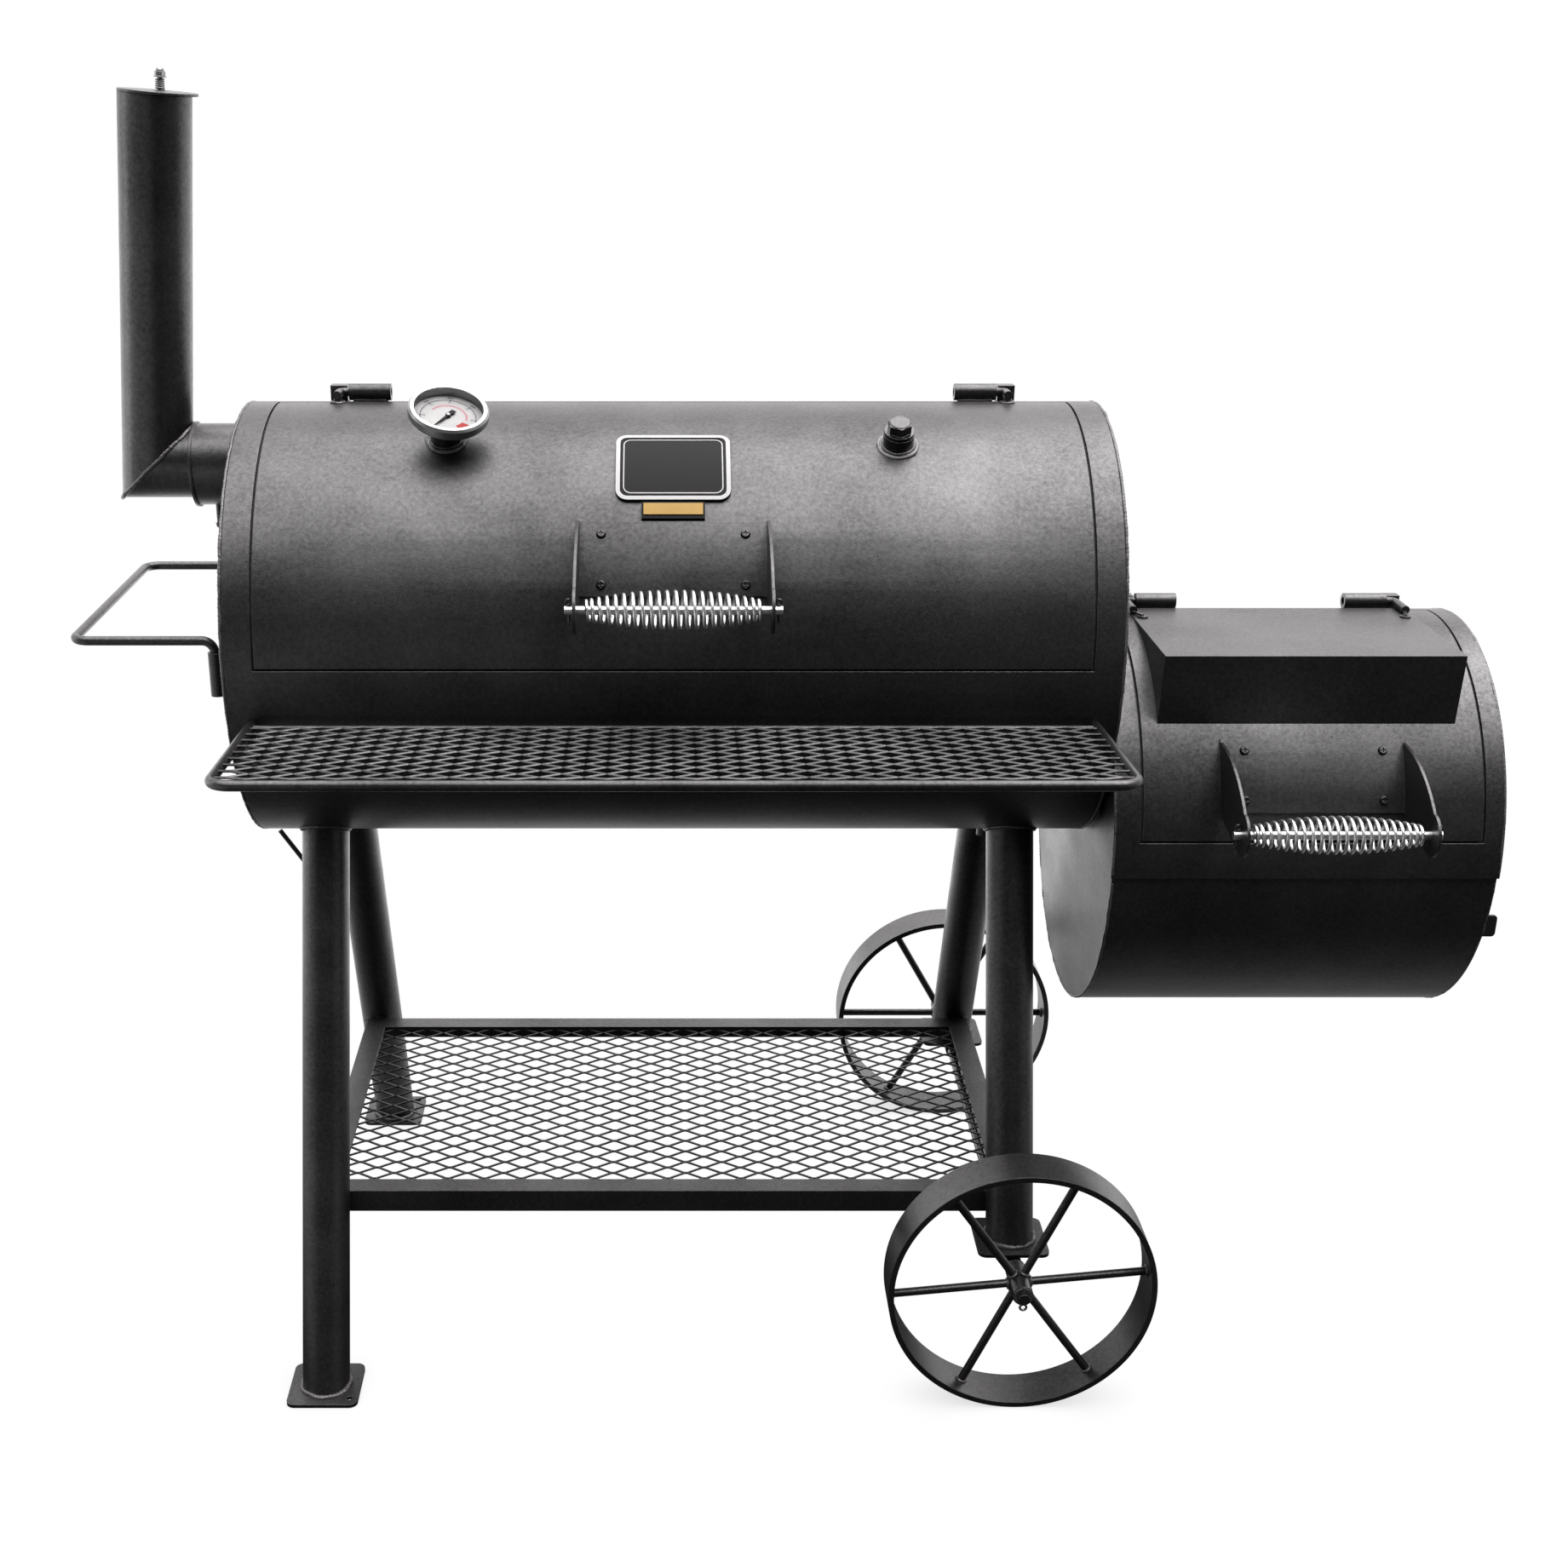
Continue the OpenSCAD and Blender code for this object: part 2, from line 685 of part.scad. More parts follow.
module at_damper() {
    translate([riser_x, 0, riser_z]) rotate([0, pipe_lean, 0])
        translate([damper_pivot[0], damper_pivot[1], riser_len]) children();
}

disc_t = 2.5;
module damper_disc() {
    color(black_steel) at_damper() difference() {
        translate([3 - damper_pivot[0], -damper_pivot[1], 0.3]) cylinder(r = 39.5, h = disc_t);
        translate([0, 0, -1]) cylinder(r = 3 + fit, h = 6, $fn = 48);
    }
}

module damper_bolt() {
    color(plain_steel) at_damper() {
        translate([0, 0, -11]) cylinder(r = 5.8, h = 4 - touch, $fn = 6);
        translate([0, 0, -8]) cylinder(r = 3, h = 26, $fn = 48);
    }
}

module damper_spring() {
    color(plain_steel) at_damper() for (i = [0:4])
        translate([0, 0, disc_t + 1.2 + i * 2.4]) rotate_extrude()
            translate([4.4, 0]) circle(0.7, $fn = 24);
}

module damper_nut() {
    color(plain_steel) at_damper() translate([0, 0, disc_t + 12.4]) difference() {
        union() {
            cylinder(r = 6.6, h = 1, $fn = 48);
            translate([0, 0, 1]) cylinder(r = 5.6, h = 4.5, $fn = 6);
            translate([0, 0, 5.5]) sphere(4.3, $fn = 48);
        }
        translate([0, 0, -1]) cylinder(r = 3 + fit, h = 5.2, $fn = 48);
    }
}

// ---- side handle ----

handle_z = 793;
handle_arm_y = 165;
handle_root_x = -half_len - 18.5;
handle_out = 143;
handle_r = 4.75;
module side_handle() {
    corner = 16;
    drop = 12;
    color(black_steel) translate([handle_root_x, 0, handle_z]) {
        translate([-handle_out, 0, 0]) y_bar(handle_r, -handle_arm_y + corner, handle_arm_y - corner);
        for (s = [-1, 1]) {
            translate([-handle_out + corner, s * (handle_arm_y - corner), 0])
                rotate([0, 0, s > 0 ? 90 : 180]) quarter_bend(handle_r, corner);
            translate([0, s * handle_arm_y, 0]) {
                x_bar(handle_r, -handle_out + corner, -drop);
                translate([-drop, 0, -drop]) rotate([90, 0, 0]) quarter_bend(handle_r, drop);
                translate([0, 0, -52]) cylinder(r = handle_r, h = 52 - drop);
            }
        }
    }
}

module side_handle_sockets() {
    socket_r = 7.2;
    color(black_steel) for (s = [-1, 1]) translate([handle_root_x, s * handle_arm_y, handle_z]) {
        difference() {
            union() {
                translate([0, 0, -57]) cylinder(r = socket_r, h = 45);
                translate([0, -3, -52]) cube([-half_len - handle_root_x - touch, 6, 34]);
            }
            translate([0, 0, -53]) cylinder(r = handle_r + fit, h = 60);
        }
    }
}

// ---- shelves ----

module at_front_shelf() {
    translate([0, front_shelf_y, front_shelf_z]) rotate([-front_shelf_tilt, 0, 0]) children();
}

module front_shelf_frame() {
    corner = 20;
    half = front_shelf_w / 2 - rail_r;
    color(black_steel) difference() {
        at_front_shelf() {
            y = -front_shelf_d;
            translate([0, y, 0]) x_bar(rail_r, -half + corner, half - corner);
            x_bar(3.4, -half, half);
            for (s = [-1, 1]) {
                translate([s * (half - corner), y + corner, 0])
                    rotate([0, 0, s > 0 ? -90 : 180]) quarter_bend(rail_r, corner);
                translate([s * half, 0, 0]) y_bar(rail_r, y + corner, 40);
            }
        }
        at_barrel() x_bar(barrel_r + touch, -half_len, half_len);
    }
}

module front_shelf_mesh() {
    color(black_steel) at_front_shelf() translate([0, -front_shelf_d / 2, 4])
        expanded_panel(front_shelf_w - 4 * rail_r - 2, front_shelf_d - 22, 1.5);
}

module front_shelf_brackets() {
    u = -front_shelf_y;
    w = front_shelf_z - barrel_z - rail_r - 0.4;
    rise = tan(front_shelf_tilt);
    x = front_shelf_w / 2 - rail_r;
    color(black_steel) at_barrel() for (s = [-1, 1])
        side_plate(s * x - 2, s * x + 2) difference() {
            polygon([[u - 40, w - 40 * rise], [u + 20, w + 20 * rise], [u + 20, w - 6], [u - 30, w - 44]]);
            circle(barrel_r + touch, $fn = 180);
        }
}

// Keeps what is drawn clear of the four leg tubes
module clear_of_legs() {
    difference() {
        children();
        for (x = [left_x, right_x], s = [-1, 1]) leg_bar(x, s, leg_d / 2 + touch);
    }
}

shelf_depth = shelf_front_y + shelf_back_y;
module lower_shelf_frame() {
    half_x = shelf_w / 2;
    color(black_steel) clear_of_legs() translate([cart_shift, -shelf_front_y, shelf_z - angle_w]) difference() {
        translate([-half_x, 0, 0]) cube([2 * half_x, shelf_depth, angle_w]);
        translate([-half_x + angle_t, angle_t, -1])
            cube([2 * (half_x - angle_t), shelf_depth - 2 * angle_t, angle_w + 1 - angle_t]);
        translate([-half_x + angle_w, angle_w, 0])
            cube([2 * (half_x - angle_w), shelf_depth - 2 * angle_w, angle_w + 1]);
    }
}

module lower_shelf_mesh() {
    color(black_steel) clear_of_legs()
        translate([cart_shift, (shelf_back_y - shelf_front_y) / 2, shelf_z - angle_t - 1.6])
            expanded_panel(shelf_w - 2 * angle_t - 2, shelf_depth - 2 * angle_t - 2, 1.5);
}

// ---- cart ----

// Solid bar on a leg's axis: s is -1 in front and 1 behind
module leg_bar(x, s, r) {
    translate([x, s * leg_foot_y, 0]) rotate([s * splay, 0, 0])
        translate([0, 0, -60]) cylinder(r = r, h = 760);
}

// Leg tube, cut level at z0 and to the barrel above
module leg(x, s, z0) {
    difference() {
        intersection() {
            difference() {
                leg_bar(x, s, leg_d / 2);
                leg_bar(x, s, leg_d / 2 - 2.5);
            }
            translate([x - 50, -500, z0]) cube([100, 1000, 600]);
        }
        at_barrel() x_bar(barrel_r + touch, -half_len, half_len);
        at_barrel() translate([-half_len, -300, -100]) cube([barrel_len, 600, 400]);
    }
}

module legs_left() {
    color(black_steel) for (s = [-1, 1]) leg(left_x, s, foot_t + touch);
}

module legs_right() {
    color(black_steel) for (s = [-1, 1]) leg(right_x, s, axle_foot_z + foot_t + touch);
}

foot_hole_r = 3.2;
foot_hole = [29, 26];
function foot_y(z) = leg_foot_y - splay_slope * z;
module foot_plate(x, s, z) {
    translate([x, s * foot_y(z), z]) linear_extrude(foot_t) difference() {
        round_rect(foot_side, foot_side, 9);
        translate([foot_hole[0], s * foot_hole[1]]) circle(foot_hole_r);
    }
}

module foot_plates() {
    color(black_steel) for (s = [-1, 1]) {
        foot_plate(left_x, s, 0);
        foot_plate(right_x, s, axle_foot_z);
    }
}

module axle_sleeves() {
    y = foot_y(axle_foot_z);
    color(black_steel) translate([right_x, 0, axle_z]) for (s = [-1, 1]) difference() {
        y_bar(sleeve_r, s * y - 32, s * y + 32);
        y_bar(axle_r + fit, s * y - 33, s * y + 33);
    }
}

function wheel_y(s) = s < 0 ? wheel_front_y : wheel_rear_y;
function axle_end(s) = wheel_y(s) + rim_w / 2 + 9.5;
function pin_y(s) = s * (axle_end(s) - 4);
module axle() {
    color(dark_steel) translate([right_x, 0, axle_z]) difference() {
        y_bar(axle_r, -axle_end(-1), axle_end(1));
        for (s = [-1, 1]) translate([0, pin_y(s), -10]) cylinder(r = 1.6, h = 20, $fn = 32);
    }
}

module wheel(s, a) {
    spokes = 3;
    translate([right_x, s * wheel_y(s), axle_z]) difference() {
        union() {
            difference() {
                y_bar(wheel_r, -rim_w / 2, rim_w / 2);
                y_bar(wheel_r - 6, -rim_w / 2 - 1, rim_w / 2 + 1);
            }
            y_bar(11, -rim_w / 2 - 1.5, rim_w / 2 + 1.5);
            for (i = [0:spokes - 1]) rotate([0, -a - i * 60, 0])
                x_bar(4.4, -wheel_r + 3, wheel_r - 3);
        }
        y_bar(axle_r + fit, -rim_w, rim_w);
    }
}

module wheel_front() { color(black_steel) wheel(-1, spoke_a); }
module wheel_rear() { color(black_steel) wheel(1, 0); }

module axle_retainers() {
    hub_gap = 1.9;
    washer_t = 1.6;
    color(plain_steel) translate([right_x, 0, axle_z]) for (s = [-1, 1]) {
        inner = wheel_y(s) + rim_w / 2 + hub_gap;
        difference() {
            y_bar(10.2, min(s * inner, s * (inner + washer_t)), max(s * inner, s * (inner + washer_t)));
            y_bar(axle_r + fit, -axle_end(-1), axle_end(1));
        }
        translate([0, pin_y(s), 0]) rotate([180, 0, 0]) split_pin(axle_r, 1.4);
    }
}

drain_x = 352;
drain_r = 6;
module grease_drain() {
    z = barrel_z - barrel_r;
    color(black_steel) {
        translate([drain_x, 0, 0]) difference() {
            union() {
                translate([0, 0, z - 14]) cylinder(r = drain_r, h = 30);
                translate([0, 0, z - 22]) cylinder(r = drain_r + 1.8, h = 9, $fn = 48);
            }
            at_barrel() x_bar(barrel_r + touch, -half_len, half_len);
            translate([0, 0, z - 19]) cylinder(r = drain_r - 1.5, h = 60);
        }
        translate([-leg_x - 42, 0, 0]) difference() {
            union() {
                translate([0, 0, z - 62]) cylinder(r = 2.7, h = 80, $fn = 48);
                translate([0, 0, z - 62]) sphere(3.2, $fn = 48);
                translate([0, 0, z - 62]) rotate([0, -34, 0]) cylinder(r = 2.7, h = 54, $fn = 48);
            }
            at_barrel() x_bar(barrel_r + touch, -half_len, half_len);
        }
    }
}

// ---- firebox ----

door_z = [430, 540];
door_half_y = 150;
module firebox_upper_shell() {
    r = firebox_r;
    color(black_steel) difference() {
        at_firebox() x_bar(r, firebox_x0, firebox_x1);
        at_firebox() x_bar(r - firebox_t, firebox_x0 + firebox_t, firebox_x1 - firebox_t);
        translate([firebox_x0 - 1, -r - 1, 0])
            cube([firebox_len + 2, 2 * r + 2, firebox_z - split_drop]);
        at_firebox() arc_sheet(r + 5, r - firebox_t - 5, firebox_lid_front_a - 0.6,
            firebox_lid_rear_a + 0.8, firebox_lid_x0 - lid_gap, firebox_lid_x1 + lid_gap);
        throat(0, firebox_x0 - 1, firebox_x0 + firebox_t + 1);
    }
}

module firebox_lower_shell() {
    r = firebox_lower_r;
    x0 = firebox_x0 + firebox_step;
    x1 = firebox_x1 - firebox_step;
    split_z = firebox_z - split_drop;
    lap_inset = firebox_t + 0.3;
    color(black_steel) difference() {
        translate([0, 0, firebox_z - firebox_sink]) difference() {
            x_bar(r, x0, x1);
            x_bar(r - firebox_t, x0 + firebox_t, x1 - firebox_t);
        }
        translate([x0 - 1, -r - 1, split_z + lap]) cube([x1 - x0 + 2, 2 * r + 2, r + 10]);
        for (x = [firebox_x0 - 1, firebox_x1 - lap_inset])
            translate([x, -r - 1, split_z - touch]) cube([lap_inset + 1, 2 * r + 2, lap + 1]);
        translate([x1 - firebox_t - 1, -door_half_y + 12, door_z[0] + 12])
            cube([firebox_t + 2, 2 * door_half_y - 24, door_z[1] - door_z[0] - 24]);
    }
}

module firebox_flange() {
    color(dark_steel) difference() {
        throat(20, half_len + touch, firebox_x0 - touch);
        throat(0, half_len - 1, firebox_x0 + 1);
    }
}

module charcoal_grate() {
    z = 450;
    rod = 5;
    y = sqrt(pow(firebox_lower_r - firebox_t - rod - 0.2, 2) - pow(firebox_z - firebox_sink - z, 2));
    x0 = firebox_x0 + 14;
    x1 = firebox_x1 - 14;
    bars = 12;
    color(dark_steel) translate([0, 0, z]) {
        for (s = [-1, 1]) translate([0, s * y, 0]) x_bar(rod, x0, x1);
        for (i = [0:bars]) translate([x0 + 6 + i * (x1 - x0 - 12) / bars, 0, 0]) y_bar(4, -y, y);
    }
}

module firebox_lid() {
    color(black_steel) difference() {
        at_firebox() arc_sheet(firebox_r, firebox_r - firebox_t, firebox_lid_front_a,
            firebox_lid_rear_a, firebox_lid_x0, firebox_lid_x1);
        at_firebox() for (x = [-screw_x, screw_x], a = firebox_screw_a)
            radial(a, firebox_mid + x) cylinder(r = 2.7, h = firebox_r + 5);
    }
}

// Flat-topped box on the firebox lid, open underneath
module firebox_hood() {
    t = hood_t;
    x0 = hood_x0;
    x1 = hood_x0 + hood_len;
    lean = 7.5;
    color(black_steel) at_firebox() difference() {
        side_plate(x0, x1) polygon([[-25, hood_top], [hood_reach, hood_top],
            [hood_reach - lean, hood_face_bottom], [100, 100], [-25, 150]]);
        side_plate(x0 + t, x1 - t) polygon([[-30, hood_top - t], [hood_reach - t, hood_top - t],
            [hood_reach - lean - t, hood_face_bottom], [100, 90], [-30, 140]]);
        x_bar(firebox_r + touch, x0 - 1, x1 + 1);
    }
}

firebox_tubes = [[509, 553], [738, 784]];
module at_firebox_hinge() { translate([0, firebox_hinge_y, firebox_z + firebox_hinge_rise]) children(); }

module firebox_hinge_tubes() {
    color(black_steel) {
        at_firebox_hinge() for (t = firebox_tubes) hinge_tube(t[0], t[1]);
        difference() {
            for (x = [firebox_tubes[0][0] - stop_w, firebox_tubes[1][1] + 1])
                translate([x, firebox_hinge_y + stop_back, firebox_z + firebox_r - 12])
                    cube([stop_w - 1, 13, 22]);
            at_firebox() x_bar(firebox_r + touch, firebox_x0 - 1, firebox_x1 + 1);
        }
        difference() {
            for (t = firebox_tubes) translate([t[0] + 6, firebox_hinge_y - 2, firebox_z + firebox_r - 8])
                cube([t[1] - t[0] - 12, 4, 6]);
            at_firebox() x_bar(firebox_r + touch, firebox_x0 - 1, firebox_x1 + 1);
            at_firebox_hinge() x_bar(hinge_tube_r - 0.5, firebox_x0, firebox_x1);
        }
    }
}

module firebox_hinge_rods() {
    drop = firebox_hinge_rise - hood_top - touch;
    color(black_steel) at_firebox_hinge() {
        firebox_hinge_rod(firebox_tubes[0][1] - 4, firebox_tubes[0][0] - 1, drop, 8);
        firebox_hinge_rod(firebox_tubes[1][0] + 4, firebox_tubes[1][1] + 1, drop, -4);
    }
}

// Pin, bend and arm along the hood's top plate, with a tongue down to a boss on the plate
module firebox_hinge_rod(x0, x1, drop, boss_x) {
    side = x1 > x0 ? 1 : -1;
    bend = 9;
    arm = 40;
    boss = 12.5;
    x_bar(hinge_pin_r, min(x0, x1), max(x0, x1));
    translate([x1, -bend, 0]) rotate([0, 0, side > 0 ? 0 : 90]) quarter_bend(hinge_pin_r, bend);
    translate([x1 + side * bend, -arm, 0]) {
        y_bar(hinge_pin_r, 0, arm - bend);
        translate([boss_x, -boss, -drop]) cylinder(r = 5.8, h = 1.6, $fn = 48);
        translate([0, 2, 1 - drop]) rotate([0, 0, atan2(-boss - 2, boss_x)])
            translate([0, -1.7, 0]) cube([sqrt(pow(boss + 2, 2) + boss_x * boss_x), 3.4, 2.2]);
    }
}

module firebox_handle_bracket() {
    color(black_steel) at_firebox() translate([firebox_mid, 0, 0])
        handle_bracket(firebox_r, firebox_rod, firebox_plate_a, firebox_screw_a);
}
module firebox_handle_fasteners() {
    color(dark_steel) at_firebox() translate([firebox_mid, 0, 0])
        handle_fasteners(firebox_r, firebox_t, firebox_rod, firebox_screw_a);
}
module firebox_handle_rod() {
    color(bright_steel) at_firebox() translate([firebox_mid, 0, 0]) handle_rod(firebox_rod);
}
module firebox_grip_coil() {
    color(bright_steel) at_firebox() translate([firebox_mid, 0, 0]) grip_coil(firebox_rod);
}

// ---- firebox door and air damper ----

door_x = firebox_x1 - firebox_step + 0.3;
door_t = 3;
door_mid_z = (door_z[0] + door_z[1]) / 2;
hinge_at = [door_x + 7.2, door_half_y + 3];
knuckle_r = 5;
vent_r = 9;
vent_ring = 22;
vents = 3;
module firebox_door() {
    face = door_x + door_t;
    tab_y = -192;
    tab_z = 480;
    tab_h = 24;
    color(black_steel) difference() {
        union() {
            translate([door_x, 0, door_mid_z]) rotate([90, 0, 90])
                linear_extrude(door_t) round_rect(2 * door_half_y, door_z[1] - door_z[0], 10);
            translate([face - 0.1, 118, door_mid_z - 10]) cube([1.9, door_half_y + 3 - 118, 20]);
            translate([hinge_at[0], hinge_at[1], door_mid_z - 10]) cylinder(r = knuckle_r, h = 20);
            translate([face - 0.1, tab_y, tab_z]) cube([3.1, -120 - tab_y, tab_h]);
            translate([face + 7, tab_y, tab_z]) rotate([-90, 0, 0]) translate([0, -tab_h / 2, 0])
                linear_extrude(3) round_rect(14.4, tab_h, 4);
            translate([face - 1, 0, door_mid_z]) x_bar(3, 0, 5);
            translate([face + 2.7, 0, door_mid_z]) x_bar(6, 0, 2);
        }
        translate([hinge_at[0], hinge_at[1], 0]) cylinder(r = 2.5, h = 900);
        translate([door_x - 1, 0, door_mid_z]) for (i = [0:vents - 1])
            rotate([i * 120, 0, 0]) translate([0, 0, vent_ring]) x_bar(vent_r, 0, door_t + 2);
    }
}

module door_hinge() {
    x0 = firebox_x1 - firebox_step;
    color(dark_steel) {
        difference() {
            union() {
                for (z = [door_mid_z - 30, door_mid_z + 10.5])
                    translate([hinge_at[0], hinge_at[1], z]) cylinder(r = knuckle_r, h = 19.5);
                for (z = [door_mid_z - 30, door_mid_z + 10.5])
                    translate([x0 + touch, hinge_at[1] + 2.8, z]) cube([5.6, 20, 19.5]);
            }
            translate([hinge_at[0], hinge_at[1], 0]) cylinder(r = 2.4, h = 900);
        }
        translate([hinge_at[0], hinge_at[1], door_mid_z - 32]) cylinder(r = 2.4, h = 64);
        translate([hinge_at[0], hinge_at[1], door_mid_z + 32]) sphere(3.6, $fn = 48);
    }
}

module air_damper() {
    face = door_x + door_t;
    color(black_steel) translate([face + 0.4, 0, door_mid_z]) difference() {
        union() {
            x_bar(36, 0, 2);
            translate([0, -5, 30]) cube([2, 10, 16]);
            translate([0, -5, 44]) cube([14, 10, 2]);
        }
        x_bar(3 + fit, -1, 3);
        for (i = [0:vents - 1]) rotate([60 + i * 120, 0, 0]) translate([0, 0, vent_ring])
            x_bar(vent_r, -1, 3);
    }
}

placed() main_barrel_shell();
placed() left_end_cap();
placed() right_end_cap();
placed() lid_seal_frames();
placed() grate_rails();
placed() cooking_grates();
placed() main_lid();
placed() main_hinge_tubes();
placed() main_hinge_rods();
placed() main_handle_bracket();
placed() main_handle_fasteners();
placed() main_handle_rod();
placed() main_grip_coil();
placed() lid_bungs();
placed() probe_plug();
placed() thermometer_case();
placed() thermometer_bezel();
placed() thermometer_dial();
placed() thermometer_pointer();
placed() thermometer_glass();
placed() badge_plate();
placed() brass_tag();
placed() stack_collar();
placed() collar_screw();
placed() stack_pipe();
placed() damper_disc();
placed() damper_bolt();
placed() damper_spring();
placed() damper_nut();
placed() side_handle();
placed() side_handle_sockets();
placed() front_shelf_frame();
placed() front_shelf_mesh();
placed() front_shelf_brackets();
placed() legs_left();
placed() legs_right();
placed() foot_plates();
placed() axle_sleeves();
placed() axle();
placed() wheel_front();
placed() wheel_rear();
placed() axle_retainers();
placed() lower_shelf_frame();
placed() lower_shelf_mesh();
placed() grease_drain();
placed() firebox_upper_shell();
placed() firebox_lower_shell();
placed() firebox_flange();
placed() charcoal_grate();
placed() firebox_lid();
placed() firebox_hood();
placed() firebox_hinge_tubes();
placed() firebox_hinge_rods();
placed() firebox_handle_bracket();
placed() firebox_handle_fasteners();
placed() firebox_handle_rod();
placed() firebox_grip_coil();
placed() firebox_door();
placed() door_hinge();
placed() air_damper();
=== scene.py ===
import bpy
import json
import math
from mathutils import Matrix, Vector, noise


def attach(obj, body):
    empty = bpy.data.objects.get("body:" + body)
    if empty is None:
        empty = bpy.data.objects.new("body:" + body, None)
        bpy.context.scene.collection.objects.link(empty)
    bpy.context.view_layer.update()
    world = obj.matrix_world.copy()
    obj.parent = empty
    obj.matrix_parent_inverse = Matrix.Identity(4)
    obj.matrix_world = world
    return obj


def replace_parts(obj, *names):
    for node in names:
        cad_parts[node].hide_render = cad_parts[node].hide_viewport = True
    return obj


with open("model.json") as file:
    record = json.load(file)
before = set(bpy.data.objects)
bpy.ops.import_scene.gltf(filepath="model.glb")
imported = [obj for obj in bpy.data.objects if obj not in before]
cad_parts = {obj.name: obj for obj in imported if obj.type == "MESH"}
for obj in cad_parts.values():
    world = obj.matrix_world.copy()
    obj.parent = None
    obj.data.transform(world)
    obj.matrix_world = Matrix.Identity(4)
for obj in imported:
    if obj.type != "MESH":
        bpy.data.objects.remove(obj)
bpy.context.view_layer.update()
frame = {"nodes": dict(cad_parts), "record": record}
NODES = frame["nodes"]

# ---- sizes shared with the CAD source, in metres ----
# Everything below is measured from the middle of the barrel; the frame's origin lies this far to its left
ORIGIN = Matrix.Translation((0.347, 0, 0))
BARREL_R, BARREL_Z, HALF = 0.2286, 0.774, 0.4445
FIRE_R, FIRE_Z, FIRE_X0, FIRE_X1 = 0.218, 0.5595, 0.4505, 0.850
FIRE_LOW_R, FIRE_LOW_Z, FIRE_STEP = 0.215, 0.557, 0.0015
LEG_R, LEFT_X, RIGHT_X, FOOT_Y = 0.0254, -0.376, 0.366, 0.315
SLOPE = (0.315 - 0.094) / (BARREL_Z - BARREL_R)
AXLE_Z, FRONT_WHEEL_Y, REAR_WHEEL_Y, WHEEL_R = 0.1405, 0.326, 0.337, 0.1405
AXLE_FOOT_Z = 0.14905
SHELF_Z, SHELF_FRONT, SHELF_BACK, SHELF_X, SHELF_W = 0.1925, 0.226, 0.2092, -0.005, 0.770
DIAL_A, DIAL_X, DIAL_LEAN, PLUG_A, PLUG_X = 65.0, -0.2277, math.radians(8), 62.8, 0.225
COLLAR_Z, COLLAR_R, HANDLE_Y = 0.940, 0.042, 0.165
STACK_X, STACK_Z, STACK_LEAN, PIPE_R = -0.5427, 0.942, math.radians(4.8), 0.0365
STACK_LEN = (1.304 - STACK_Z) / math.cos(STACK_LEAN)
FIRE_MID = 0.6535
# Grip rods: distance from the barrel's axis, and angle above the front
MAIN_ROD = (0.3086, math.radians(15.8))
FIRE_ROD = (0.296, math.radians(13.7))
GRIP_HALF, GRIP_MID_R, GRIP_END_R, GRIP_TURNS, GRIP_WIRE = 0.0828, 0.0177, 0.0089, 22, 0.00175
COIL_R, COIL_H, COIL_TURNS, COIL_WIRE = 0.0044, 0.0097, 5, 0.0007
# Expanded metal: long way of a cell, half the length of a knuckle, thickness
LONG_WAY, KNUCKLE, MESH_T = 0.0406, 0.0013, 0.0017
# Thermometer face: height of the dial, and the angles of the cold and hot ends of its scale
FACE_Z, COLD, HOT = 0.02855, 232.0, -52.0
BADGE_A = 55.1

# Camera: place from the middle of the barrel, pitch below level, lens
CAMERA_AT, CAMERA_PITCH, LENS_MM, SENSOR_MM = (-0.0092, -2.195, 1.344), 22.4, 47.52, 36

# Light level of the studio behind, above, to the left of and in front of the grill
BACK_GLOW, TOP_GLOW, SIDE_GLOW, FRONT_GLOW = 2.1, 7.5, 0.9, 0.015


